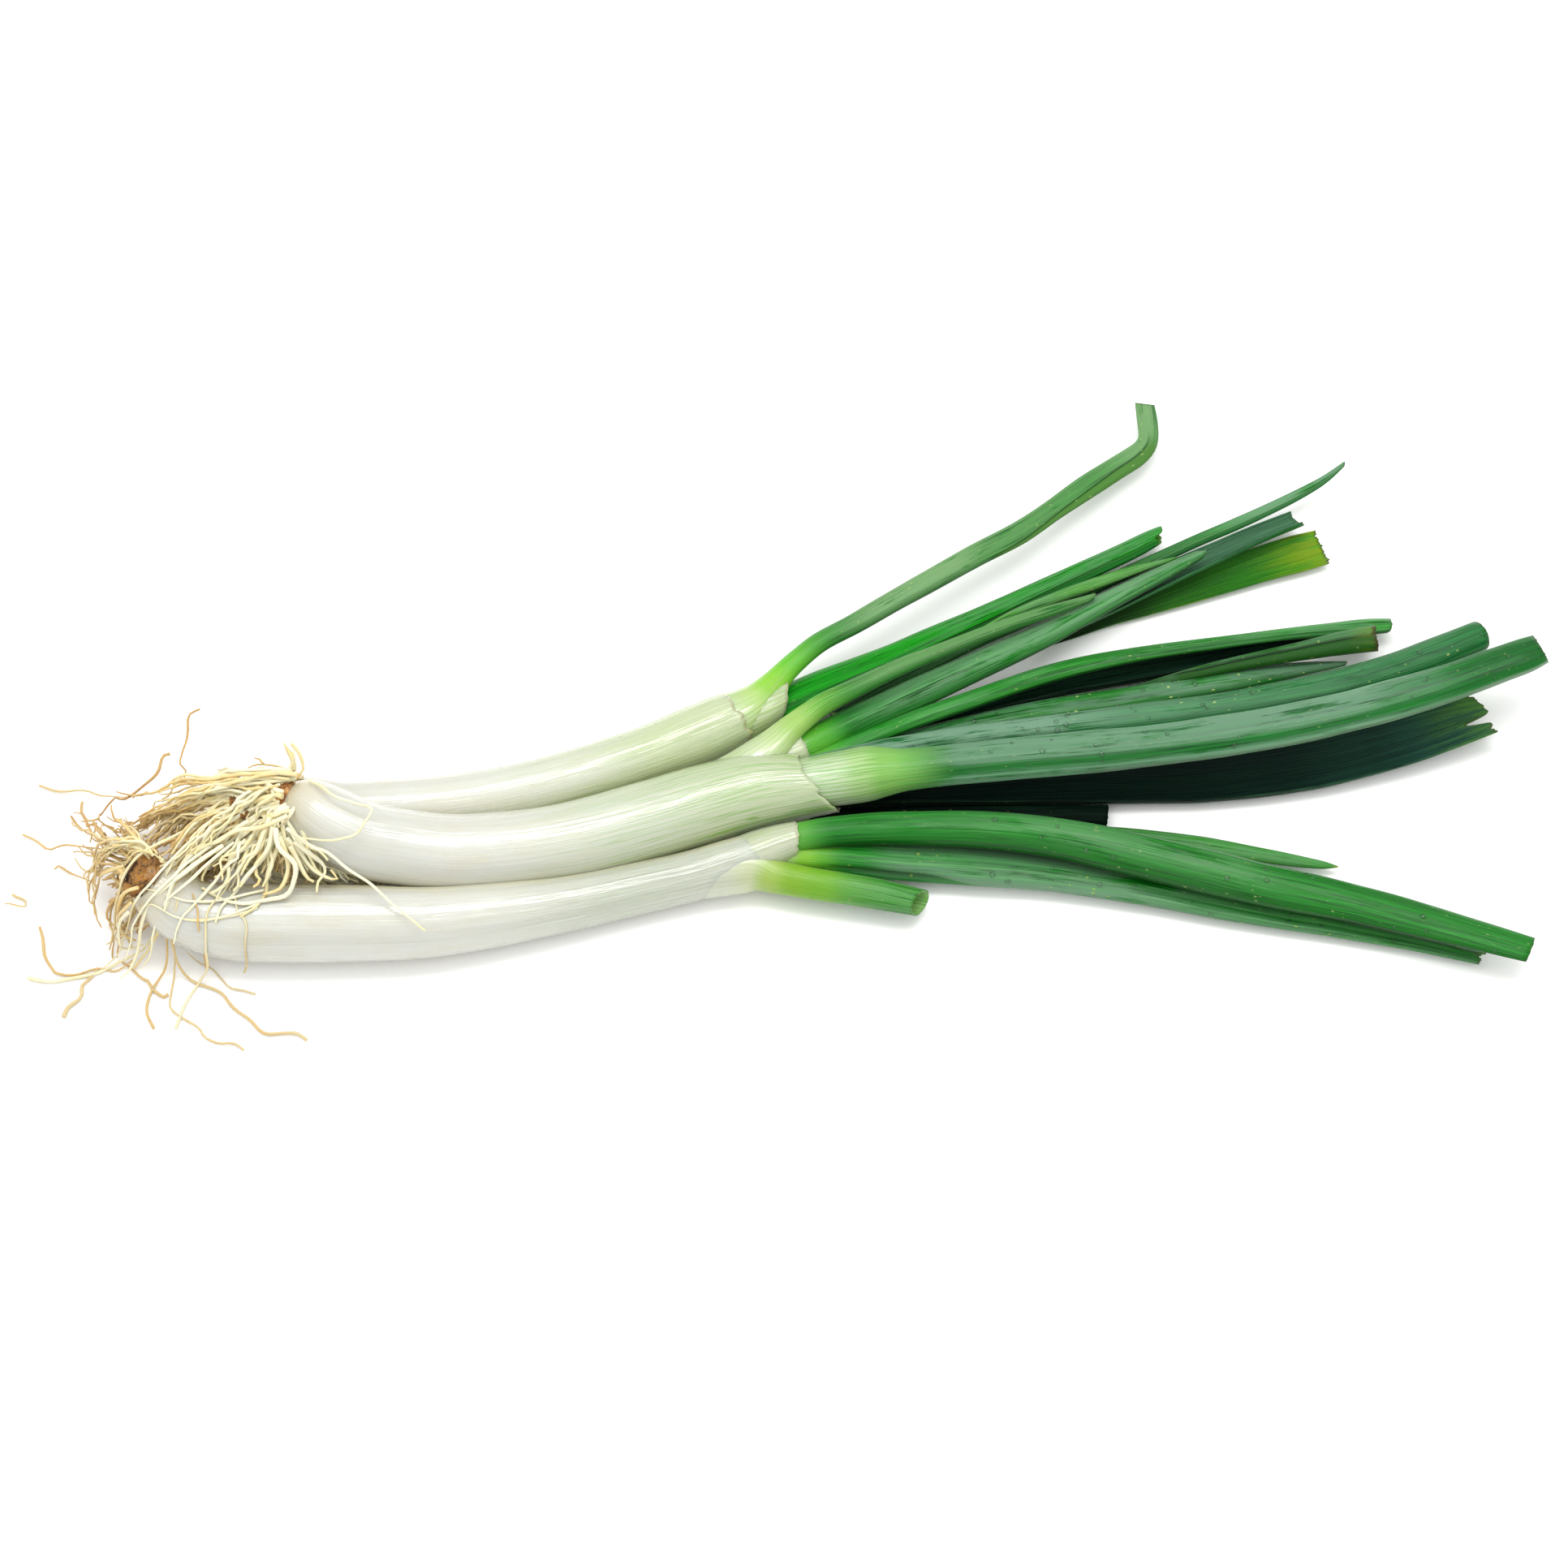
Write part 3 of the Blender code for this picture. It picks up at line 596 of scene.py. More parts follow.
leaves = {
    "rearTallLeaf": {
        "route": [(-34, -12.7, 8.8, 8.1), (-30, -11.0, 8.9, 8.7), (-26, -9.3, 9.05, 8.85),
            (-21, -6.9, 9.4, 8.85), (-16.8, -5.0, 9.9, 8.65), (-12.6, -2.9, 10.5, 7.9),
            (-9.2, -0.7, 11.2, 6.9), (-6.4, 1.7, 11.9, 5.8), (-3.9, 4.7, 12.6, 4.7), (-1.6, 7.8, 13.1, 3.8),
            (0.9, 10.8, 13.5, 3.4), (4.4, 14.4, 13.8, 3.2), (9, 18.7, 14, 3.1), (20, 25.8, 14, 3.1),
            (31, 33.3, 14, 3.35), (43, 41.4, 13.6, 3.5), (55, 49.7, 13, 3.7), (69, 59.2, 11.5, 3.7),
            (79, 68.0, 10, 3.5), (89, 77.0, 8.4, 3.9), (99, 85.4, 7, 3.9), (104.5, 89.8, 6.6, 3.8),
            (107.4, 93.2, 6.3, 3.3), (108.5, 96.4, 6, 3.0), (108.6, 99.4, 6, 3.0), (108.4, 103.8, 6, 3.0),
            (108.0, 108.9, 6, 2.8)],
        "thick": [(0, 0.97), (0.12, 0.95), (0.22, 0.8), (0.5, 0.7), (0.62, 0.5), (0.75, 0.42), (0.92, 0.34),
            (1, 0.3)],
        "soften": 1.0, "columns": 64, "uneven": [(0, 0.008), (0.25, 0.01), (0.4, 0.035), (1, 0.035)],
        "grooves": [{"at": [(0.56, -0.5), (0.92, -0.06)], "width": 0.07, "depth": 0.35, "start": 0.56,
                "end": 0.93}],
        "end": {"slant": 0.8, "slantAt": 0.7, "ragged": 0.15}, "slot": "leaf",
        "replaces": ["rear_tall_leaf"], "wall": [(0, 3.0), (0.12, 2.5), (0.2, 1.0), (0.3, 0.5), (1, 0.45)],
        "look": {**freshGreen, "seed": 5.0, "bloom": 0.75, "bloomFrom": 0.44, "baseEnd": 64.0,
            "baseHold": 0.62, "baseStreak": 8.0,
            "base": [(0.0, (0.435, 0.505, 0.3)), (0.2, (0.43, 0.51, 0.29)), (0.36, (0.4, 0.51, 0.24)),
                (0.46, (0.36, 0.53, 0.14)), (0.54, (0.22, 0.51, 0.03)), (0.72, (0.08, 0.45, 0.006)),
                (1.0, (0.03, 0.34, 0.003))], "baseRibs": 0.5, "ribColour": (0.28, 0.42, 0.12),
            "ribWander": 2.0, "bloomColour": (0.18, 0.32, 0.14), "dots": 0.7, "dry": 0.3,
            "bloomSheenBand": [(0.0, 0.2), (0.2, 0.25), (0.3, 0.7), (0.45, 1.0), (0.8, 1.0), (1.0, 0.3)],
            "bloomAlong": [(0.0, 0.0), (0.28, 0.15), (0.4, 0.9), (0.52, 1.0), (0.6, 0.5), (0.8, 0.35),
                (0.92, 0.9), (1.0, 1.0)],
            "folds": [{"share": (0.57, 0.93), "at": (-0.46, -0.02), "below": (0.05, 0.16, 0.018),
                    "strength": 0.9, "line": (0.004, 0.05, 0.006), "lineStrength": 0.8, "lineWidth": 0.06}]},
    },
    "rearBroadLeaf": {
        "route": [(-14, -5.6, 8.6, 4.0), (-7, -2.2, 8.4, 5.2), (-1, 0.9, 8.0, 6.0), (8, 6.0, 7.8, 6.4),
            (22, 13.6, 7.4, 5.6), (31, 18.3, 7.2, 5.0), (43, 25.0, 7, 4.5), (55, 31.4, 6.6, 4.2),
            (79, 44.7, 6, 3.8), (90, 50.5, 6, 3.8), (103, 57.6, 6, 3.75), (108, 60.6, 6, 3.6),
            (111, 62.2, 6, 3.3)],
        "thick": [(0, 0.8), (0.3, 0.6), (1, 0.5)], "roll": [(0, -8), (0.5, -14), (1, -20)], "columns": 52,
        "grooves": [{"at": [(0.0, -0.46), (1.0, -0.3)], "width": 0.08, "depth": 0.35, "start": 0.08,
                "end": 1.05}],
        "end": {"slant": 0.6, "slantAt": 0.2, "torn": 0.5, "notches": [(-0.2, 0.1, 2.6), (-0.5, 0.3, 3.0)],
            "stretch": 14.0},
        "slot": "leaf", "replaces": ["rear_broad_leaf"],
        "look": {**freshGreen, "seed": 15.0, "green": (0.001, 0.215, 0.001), "bright": (0.004, 0.28, 0.003),
            "bloom": 0.6, "bloomAlong": [(0.0, 0.0), (0.3, 0.15), (0.6, 0.8), (1.0, 1.0)],
            "bloomColour": (0.1, 0.24, 0.11),
            "bloomSheenBand": [(0.0, 0.1), (0.3, 0.3), (0.42, 0.8), (0.55, 1.0), (0.8, 0.9), (1.0, 0.2)],
            "shadeBand": [(0.0, 0.35), (0.2, 0.5), (0.3, 0.9), (0.4, 1.0), (1.0, 1.0)], "baseEnd": 11.0,
            "base": [(0.0, (0.2, 0.42, 0.06)), (1.0, (0.01, 0.3, 0.003))], "baseRibs": 0.1, "dots": 0.2,
            "dry": 0.3,
            "folds": [{"share": (0.05, 1.0), "at": (-0.46, -0.3), "below": (0.004, 0.085, 0.008),
                    "strength": 0.85, "lineStrength": 0.25}], "sheen": 0.02, "specular": 0.08},
    },
    "rearNeckLip": {
        "route": [(-25, -9.0, 9.0, 7.4), (-17, -5.6, 9.0, 8.1), (-10, -2.7, 9.1, 7.9), (-6, -0.9, 9.2, 7.5),
            (-3.0, 0.7, 9.3, 6.9), (-1.0, 1.8, 9.3, 6.3)],
        "thick": 0.95, "columns": 56, "wall": [(0, 2.0), (0.75, 1.6), (1, 0.4)],
        "end": {"slant": 4.2, "slantAt": 0.3, "ragged": 0.3, "torn": 0.5, "stretch": 12.0}, "slot": "sheath",
        "spacing": 1.0, "ribs": {"count": 26, "height": 0.07},
        "skin": {"seed": 9.0, "greenFrom": -40.0, "greenFull": -20.0, "wash": 0.98, "veins": 0.8,
            "flankLight": [(0.0, 1.0), (1.0, 1.0)], "bounceGlowBand": [(0.0, 0.0), (1.0, 0.0)], "freckles": 0.9,
            "pale": (0.42, 0.505, 0.25), "rimStrength": 0.7, "rim": (0.52, 0.46, 0.26), "veinCount": 70.0,
            "vein": (0.24, 0.4, 0.08)},
    },
    "middleSlimLeaf": {
        "route": [(-26, -29.4, 11.2, 5.4), (-19.4, -26.0, 12.0, 5.9), (-13.8, -23.4, 12.8, 6.3),
            (-10, -21.3, 13.6, 6.2), (-6.4, -18.8, 14.5, 5.85), (-3.2, -16.0, 15.3, 5.15),
            (-0.5, -13.0, 16.0, 4.4), (2.3, -10.2, 16.6, 3.85), (5.5, -7.4, 17, 3.5),
            (10.1, -3.7, 17.4, 3.2), (17, 0.2, 17.8, 2.95), (31, 8.0, 17.8, 2.55), (49, 17.3, 16.6, 2.2),
            (64, 24.6, 15.4, 2.1), (78, 30.8, 14, 1.8), (89, 35.6, 13, 1.0)],
        "thick": [(0, 0.97), (0.25, 0.9), (1, 0.75)], "soften": 1.2, "columns": 52,
        "grooves": [{"at": 0.3, "width": 0.08, "depth": 0.3, "start": 0.55, "end": 1.0}],
        "end": {"slant": 1.0, "torn": 0.3}, "slot": "leaf", "replaces": ["middle_slim_leaf"],
        "wall": [(0, 2.4), (0.2, 2.0), (0.35, 0.8), (0.5, 0.5), (1, 0.45)],
        "look": {**freshGreen, "seed": 25.0, "bloom": 0.55, "bloomFrom": 0.44,
            "bloomColour": (0.14, 0.27, 0.1), "baseEnd": 60.0, "baseHold": 0.6, "baseRibs": 0.75,
            "baseStreak": 8.0, "ribColour": (0.3, 0.44, 0.14), "ribWander": 2.0, "ribCount": 84.0,
            "base": [(0.0, (0.47, 0.53, 0.36)), (0.34, (0.46, 0.53, 0.33)), (0.48, (0.41, 0.53, 0.23)),
                (0.6, (0.28, 0.48, 0.1)), (0.78, (0.11, 0.38, 0.02)), (1.0, (0.06, 0.31, 0.02))],
            "bloomAlong": [(0.0, 0.0), (0.35, 0.2), (0.5, 1.0), (1.0, 1.0)], "dots": 1.0,
            "dotColour": (0.4, 0.42, 0.18), "dry": 0.2},
    },
    "middleNeckLip": {
        "route": [(-20, -28.6, 11.2, 6.0), (-10, -23.2, 11.6, 6.6), (-4, -19.2, 11.8, 6.0),
            (0.5, -16.4, 11.8, 5.3), (4.4, -14.2, 11.8, 4.8)],
        "thick": 0.95, "columns": 56, "wall": [(0, 2.0), (0.75, 1.6), (1, 0.4)],
        "end": {"slant": 0.9, "slantAt": -0.1, "ragged": 0.4, "torn": 0.5, "stretch": 8.0}, "slot": "sheath",
        "spacing": 1.0,
        "skin": {"seed": 27.0, "greenFrom": -30.0, "greenFull": -2.0, "wash": 0.95,
            "flankLight": [(0.0, 1.0), (1.0, 1.0)], "bounceGlowBand": [(0.0, 0.0), (1.0, 0.0)], "freckles": 0.0,
            "pale": (0.47, 0.53, 0.3), "rim": (0.6, 0.56, 0.4)},
    },
    "middleSliverLeaf": {
        "route": [(56, 26.4, 9.4, 0.5), (66, 32.0, 9.6, 1.3), (77, 37.4, 9, 1.7), (88, 42.4, 8.4, 1.9),
            (102, 48.3, 8, 1.5), (114, 52.0, 8.5, 0.4)],
        "thick": 0.6, "columns": 30, "end": {"slant": 0.6}, "slot": "leaf",
        "replaces": ["middle_sliver_leaf"],
        "look": {**freshGreen, "seed": 31.0, "green": (0.06, 0.24, 0.03), "bright": (0.13, 0.33, 0.08),
            "bloom": 0.4, "baseEnd": 1.0, "dry": 0.0},
    },
    "middleLongLeaf": {
        "route": [(14, 1, 3.4, 1.6), (31, 12, 3.2, 1.8), (55, 26, 3.2, 1.9), (79, 38.4, 3.4, 2.0),
            (95, 47.2, 4.0, 2.1), (108, 53.6, 4.8, 2.1), (122, 60.6, 5.6, 2.05), (132, 65.2, 6.1, 2.0),
            (142, 70.2, 6.6, 1.9), (152, 75.7, 7, 1.7), (160, 80.7, 7.6, 1.3), (165.5, 85.2, 8.5, 0.7)],
        "thick": [(0, 0.7), (0.8, 0.5), (1, 0.4)], "columns": 36, "end": {"slant": 0.8},
        "grooves": [{"at": 0.05, "width": 0.12, "depth": 0.35, "start": 0.4, "end": 1.0}], "slot": "leaf",
        "replaces": ["middle_long_leaf"],
        "look": {**freshGreen, "seed": 37.0, "bloomFrom": 0.46,
            "bloomAlong": [(0, 0), (0.7, 0.3), (0.85, 1), (1, 1)], "baseEnd": 1.0, "dry": 0.2,
            "shadeAlong": [(0.0, 0.3), (0.6, 0.6), (0.8, 1.0), (1.0, 1.0)],
            "folds": [{"share": (0.5, 1.0), "at": (-0.12, -0.12), "below": (0.006, 0.09, 0.012),
                    "strength": 0.7, "lineStrength": 0.3}]},
    },
    "middleSplitLeaf": {
        "route": [(-8, -20.4, 11.4, 3.6), (-1.4, -17.0, 11, 4.1), (4.3, -13.7, 11, 4.4),
            (10.1, -10.6, 11, 4.5), (19, -5.6, 11, 4.6), (31, 0.8, 11, 4.7), (54, 13.2, 10.6, 4.6),
            (78, 26.3, 10.2, 4.0), (88, 32.6, 10.2, 3.5), (102, 41.0, 10.2, 3.1), (113, 47.4, 10.2, 2.6),
            (121.5, 52.4, 10.2, 1.8)],
        "thick": [(0, 0.85), (0.5, 0.75), (0.8, 0.6), (1, 0.5)], "roll": [(0, 0), (1, -18)], "columns": 52,
        "cover": [(0, 1.0), (0.72, 1.0), (0.9, 0.75), (1, 0.6)],
        "end": {"slant": 1.2, "slantAt": -0.1, "torn": 0.5, "notches": [(0.2, 0.2, 1.2)]},
        "slot": "pale_leaf", "replaces": ["middle_split_leaf"],
        "look": {**freshGreen, "seed": 41.0, "bloom": 0.64, "bloomFrom": 0.46,
            "bloomColour": (0.15, 0.29, 0.16),
            "bloomAlong": [(0, 0), (0.18, 0.15), (0.34, 0.7), (0.7, 1.0), (1, 1)], "dots": 0.5,
            "shadeBand": [(0.0, 0.4), (0.2, 0.55), (0.3, 0.9), (0.4, 1.0), (1.0, 1.0)], "baseEnd": 30.0,
            "base": [(0.0, (0.22, 0.45, 0.06)), (0.4, (0.1, 0.39, 0.03)), (1.0, (0.03, 0.27, 0.015))],
            "baseRibs": 0.2, "dry": 0.2, "sheen": 0.03, "specular": 0.08},
    },
    "middleFoldedBlade": {
        "route": [(70, 24, 5, 2.0), (80, 29.6, 5, 3.2), (93, 36.9, 5, 4.2), (104, 43.0, 5.3, 4.5),
            (117, 49.8, 5.8, 4.6), (127, 54.8, 6, 4.4), (137, 60.0, 6.4, 4.3), (151, 66.2, 7, 4.2)],
        "thick": 0.9, "cover": 0.42, "roll": [(0, 168), (0.5, 160), (1, 152)],
        "end": {"slant": 0.6, "ragged": 0.4}, "slot": "shaded_leaf", "replaces": ["middle_folded_blade"],
        "wall": 0.5,
        "look": {**deepGreen, "seed": 47.0, "bloom": 0.42, "baseEnd": 1.0, "inner": (0.045, 0.13, 0.062),
            "innerDark": (0.01, 0.045, 0.02),
            "innerShadeAlong": [(0.0, 0.1), (0.4, 0.35), (0.58, 1.2), (0.8, 1.3), (1.0, 1.4)], "dry": 0.3,
            "dryColour": (0.05, 0.07, 0.02), "sheen": 0.04},
    },
    "middleYellowBlade": {
        "route": [(74, 26, 1.4, 0.8), (84, 30.6, 1.4, 1.7), (93, 34.8, 1.4, 2.3), (104, 39.3, 1.5, 3.2),
            (117, 44.6, 1.6, 4.4), (128, 49.2, 1.8, 5.3), (141, 54.2, 2.0, 6.0), (151, 57.5, 2.2, 6.4),
            (158.0, 59.6, 2.4, 6.1)],
        "thick": 0.55, "cover": 0.2, "roll": 180, "wall": 0.5, "columns": 40,
        "end": {"torn": 1.2, "ragged": 0.5, "stretch": 7.0}, "slot": "yellow_leaf",
        "replaces": ["middle_yellow_blade"],
        "look": {**yellowGreen, "seed": 53.0, "bloom": 0.0, "baseEnd": 1.0, "inner": (0.03, 0.19, 0.006),
            "innerDark": (0.004, 0.085, 0.003),
            "innerShadeAlong": [(0.0, 0.12), (0.3, 0.35), (0.5, 0.7), (0.75, 1.0), (0.92, 1.4), (1.0, 1.7)],
            "dots": 1.4, "dotColour": (0.36, 0.34, 0.02), "dry": 0.75, "dryReach": 0.9,
            "dryColour": (0.035, 0.045, 0.01),
            "tip": {"from": 0.72, "colour": (0.17, 0.25, 0.001), "amount": 0.9}},
    },
    "middleThinLeaf": {
        "route": [(-6, -22.5, 10.6, 2.4), (8, -17.4, 10.6, 2.6), (22, -11.2, 11, 2.9), (31, -6.9, 11, 2.95),
            (54, 2.6, 11, 3.1), (77, 12.0, 10, 3.3), (101, 18.9, 8.6, 2.9), (125, 23.8, 7, 2.5),
            (148, 27.8, 6, 2.6), (160, 29.6, 5.2, 3.1), (168, 30.6, 4.8, 3.5), (174.5, 31.2, 4.6, 3.1)],
        "thick": [(0, 0.8), (0.5, 0.6), (1, 0.5)], "roll": [(0, 0), (0.4, -20), (1, -26)], "columns": 48,
        "grooves": [{"at": -0.2, "width": 0.12, "depth": 0.4, "start": 0.6, "end": 1.02}],
        "end": {"slant": 1.2, "slantAt": 0.0, "torn": 0.8, "ragged": 0.3}, "slot": "leaf",
        "replaces": ["middle_thin_leaf"],
        "look": {**freshGreen, "seed": 59.0, "bloom": 0.6, "bloomFrom": 0.52,
            "bloomAlong": [(0, 0), (0.3, 0.4), (1, 0.8)], "baseEnd": 30.0, "bloomColour": (0.1, 0.24, 0.11),
            "shadeBand": [(0.0, 0.4), (0.2, 0.5), (0.32, 0.9), (0.4, 1.0), (1.0, 1.0)],
            "base": [(0.0, (0.2, 0.42, 0.06)), (1.0, (0.02, 0.27, 0.01))], "baseRibs": 0.1, "dots": 0.5,
            "dry": 0.3,
            "folds": [{"share": (0.62, 0.93), "at": (-0.2, -0.2), "below": (0.003, 0.06, 0.008),
                    "strength": 0.6, "lineStrength": 0.2, "reach": 0.15}], "green": (0.008, 0.17, 0.008),
            "sheen": 0.03},
    },
    "middleShadedLeaf": {
        "route": [(14, -13.5, 5, 1.6), (33.2, -5.6, 5, 2.4), (54.2, 3.4, 5.2, 3.3), (77.6, 10.6, 5.2, 4.2),
            (101.2, 16.0, 4.8, 4.5), (120.1, 20.1, 4.2, 3.9), (139.2, 24.7, 3.6, 2.9), (158.3, 28.5, 3, 1.7)],
        "thick": 0.6, "cover": 0.6, "roll": 165, "end": {"slant": 1.0}, "slot": "shaded_leaf",
        "replaces": ["middle_shaded_leaf"],
        # its near-black greens and dark inner face are painted shadow: the leaf lies under the others
        "look": {**paintedShadowGreen, "seed": 61.0, "bloom": 0.1, "baseEnd": 1.0, "inner": (0.006, 0.03, 0.014),
            "innerDark": (0.001, 0.006, 0.004), "dry": 0.0, "specular": 0.04, "sheen": 0.03},
    },
    "middleCurledLeaf": {
        "route": [(100, 9.6, 5.6, 0.5), (114.7, 12.5, 7.6, 1.7), (128.7, 15.6, 8.6, 2.2),
            (147.5, 19.6, 9, 2.9), (159.4, 22.3, 9, 3.6), (170, 24.2, 8.8, 4.1)],
        "thick": 0.62, "wall": 0.5,
        "end": {"slant": 0.6, "slantAt": 0.8, "torn": 1.0, "ragged": 0.7, "stretch": 6.0}, "columns": 48,
        "grooves": [{"at": 0.07, "width": 0.1, "depth": 0.5, "start": 0.2, "end": 1.05}],
        "slot": "yellow_leaf", "replaces": ["middle_curled_leaf"],
        "look": {**freshGreen, "seed": 67.0, "green": (0.008, 0.1, 0.004), "bright": (0.03, 0.16, 0.01),
            "bloom": 0.35, "baseEnd": 1.0, "dots": 0.8,
            "shadeAlong": [(0.0, 0.6), (0.5, 0.9), (0.9, 1.1), (1.0, 1.1)],
            "folds": [{"share": (0.15, 1.0), "at": (0.1, 0.06), "below": (0.008, 0.065, 0.003),
                    "strength": 0.95, "line": (0.001, 0.016, 0.002), "lineStrength": 0.95,
                    "lineWidth": 0.13}],
            "dry": 0.85, "dryReach": 1.6, "dryColour": (0.05, 0.032, 0.01), "inner": (0.04, 0.14, 0.006),
            "tip": {"from": 0.86, "colour": (0.12, 0.2, 0.01), "amount": 0.5}},
    },
    "middleSideLeaf": {
        "route": [(4, -20, 9.4, 2.6), (16, -15.8, 8.6, 2.9), (27, -12.1, 8, 3.0), (45, -5.9, 7.4, 3.0),
            (58, -2.2, 6.8, 3.3), (76, 1.7, 6.4, 3.8), (101, 6.2, 6, 4.0), (119, 10.0, 5.8, 4.0),
            (138, 13.9, 5.4, 3.4), (150, 16.5, 5, 2.3), (161.5, 18.2, 4.8, 0.8)],
        "thick": 0.6, "roll": -12, "end": {"slant": 0.5}, "slot": "pale_leaf",
        "replaces": ["middle_side_leaf"],
        "look": {**freshGreen, "seed": 71.0, "bloom": 0.9, "bloomColour": (0.12, 0.25, 0.15), "dots": 1.0,
            "bloomAlong": [(0, 0.2), (0.3, 0.6), (1, 0.9)],
            "shadeAlong": [(0.0, 0.8), (0.7, 0.8), (1.0, 0.7)], "baseEnd": 24.0,
            "base": [(0.0, (0.24, 0.42, 0.12)), (1.0, (0.06, 0.32, 0.03))], "baseRibs": 0.2, "dry": 0.0},
    },
    "middleHighLeaf": {
        "route": [(4, -21, 11.8, 3.2), (16, -17.8, 11.6, 3.5), (27, -15.2, 11.4, 3.8),
            (44, -11.7, 11.2, 3.8), (72, -7.2, 10.6, 4.0), (100, -3.2, 10.4, 4.4), (130, 1.2, 10.6, 4.7),
            (146, 4.4, 11, 4.9), (169, 10.2, 12, 5.1), (184, 15.6, 12.8, 5.1), (198.5, 21.9, 13.6, 4.8)],
        "thick": [(0, 0.7), (0.8, 0.6), (1, 0.75)], "roll": -8,
        "end": {"slant": 1.6, "slantAt": -0.1, "ragged": 0.2}, "slot": "pale_leaf",
        "replaces": ["middle_high_leaf"],
        "look": {**deepGreen, "seed": 73.0, "bloom": 0.95, "bloomFrom": 0.46,
            "bloomColour": (0.14, 0.26, 0.17), "dots": 0.7,
            "bloomAlong": [(0, 1.0), (0.35, 1.0), (0.5, 0.5), (0.7, 0.3), (0.9, 0.2), (1, 0.1)],
            "baseEnd": 1.0, "dry": 0.3, "dark": (0.001, 0.05, 0.01), "green": (0.004, 0.115, 0.018),
            "bright": (0.018, 0.18, 0.036)},
    },
    "middleMainLeaf": {
        "route": [(-14, -28.6, 11.2, 6.2), (-4, -26.8, 11.6, 6.8), (6, -25.8, 12.2, 7.2),
            (12, -25.2, 12.8, 7.6), (19, -24.3, 13.4, 8.1), (24, -23.6, 13.9, 8.1), (28, -23.3, 14.2, 7.3),
            (32, -23.0, 14.4, 6.4), (39, -22.3, 14.8, 6.1), (62, -20.1, 15.6, 6.3), (80, -18.5, 16.1, 6.45),
            (99, -16.6, 16.5, 6.5), (126, -13.0, 17.4, 6.4), (144, -9.8, 18.2, 6.4), (167, -4.4, 19.6, 6.3),
            (186, 1.6, 20.6, 5.95), (202, 7.6, 21.6, 5.7), (211, 11.0, 22.1, 5.5), (213.8, 12.3, 22.2, 5.0)],
        "thick": [(0, 0.95), (0.2, 0.9), (0.4, 0.8), (0.9, 0.72), (1, 0.66)], "roll": -10, "columns": 64,
        "wall": [(0, 2.4), (0.2, 2.2), (0.3, 0.8), (1, 0.6)], "soften": 1.3,
        "end": {"slant": 1.0, "slantAt": 0.85, "ragged": 0.3}, "slot": "pale_leaf",
        "replaces": ["middle_main_leaf", "middle_inner_sheath"], "ribs": {"count": 52, "height": 0.04},
        "look": {**deepGreen, "seed": 79.0, "green": (0.001, 0.115, 0.009), "bright": (0.005, 0.165, 0.016),
            "bloom": 0.85, "bloomFrom": 0.47, "bloomColour": (0.145, 0.27, 0.175),
            # round this leaf the pale lower rim is a painted floor reflection and the pale top and top line a
            # painted highlight, with a dark band between; the tone lift at the lower rim is painted light
            "bloomSheenBand": [(0.0, 1.0), (0.2, 1.0), (0.28, 0.9), (0.315, 0.35), (0.345, 0.02), (0.372, 0.1),
                (0.4, 0.6), (0.45, 0.8), (0.53, 1.0), (1.0, 1.0)],
            "bloomAlong": [(0, 0), (0.22, 0.3), (0.28, 0.9), (0.75, 0.95), (0.84, 0.45), (0.9, 0.08),
                (1, 0.0)],
            "shadeBand": [(0.0, 1.8), (0.2, 1.8), (0.27, 1.4), (0.315, 1.05), (0.36, 0.95), (0.45, 0.98),
                (0.53, 0.95), (0.6, 1.05), (0.66, 1.4), (1.0, 1.4)], "baseEnd": 64.0, "baseStreak": 10.0,
            "baseRibs": 0.85, "ribCount": 118.0, "ribColour": (0.17, 0.36, 0.08), "ribWander": 1.4,
            "base": [(0.0, (0.42, 0.5, 0.33)), (0.44, (0.42, 0.52, 0.31)), (0.56, (0.34, 0.5, 0.21)),
                (0.66, (0.2, 0.43, 0.09)), (0.8, (0.13, 0.38, 0.07)), (1.0, (0.09, 0.32, 0.06))],
            "dots": 0.35, "dry": 0.35, "inner": (0.03, 0.12, 0.02),
            "shadeAlong": [(0.0, 1.0), (0.85, 1.0), (0.93, 0.85), (1.0, 0.8)],
            "folds": [{"share": (0.4, 1.05), "at": (-0.54, -0.43), "below": (0.12, 0.21, 0.12),
                    "strength": 0.75, "line": (0.13, 0.22, 0.13), "lineStrength": 0.0},
                {"share": (0.3, 1.05), "at": (0.31, 0.31), "below": (0.1, 0.2, 0.1), "strength": 0.0,
                    "line": (0.21, 0.36, 0.24), "lineWidth": 0.07, "lineStrength": 0.8}]},
    },
    "middleUnderLeaf": {
        "route": [(4, -28, 8, 3.0), (20, -26, 6.6, 3.8), (40, -24.7, 6.2, 4.3), (63, -22.9, 6, 5.7),
            (81, -21.3, 5.4, 6.8), (99, -20.2, 5.2, 7.6), (118, -19.0, 5.2, 8.2), (136, -16.4, 5.4, 8.8),
            (155, -12.8, 6, 8.9), (174, -8.1, 7.2, 8.5), (188, -4.0, 8.6, 7.8), (200, -0.6, 9.8, 6.8)],
        "thick": 0.62, "cover": [(0, 0.8), (0.3, 0.62), (1, 0.52)], "roll": [(0, 196), (1, 190)],
        "wall": 0.6, "columns": 64,
        "end": {"torn": 1.2, "ragged": 0.4, "notches": [(0.1, 0.07, 7.0), (-0.75, 0.3, 3.0)],
            "stretch": 12.0},
        "slot": "shaded_leaf", "replaces": ["middle_under_leaf"],
        # its near-black greens, and the darkening along it and on its inner face that lifts towards the end,
        # are painted shade from lying under middleMainLeaf
        "look": {**deepGreen, "seed": 83.0, "dark": (0.0015, 0.008, 0.005), "green": (0.005, 0.03, 0.012),
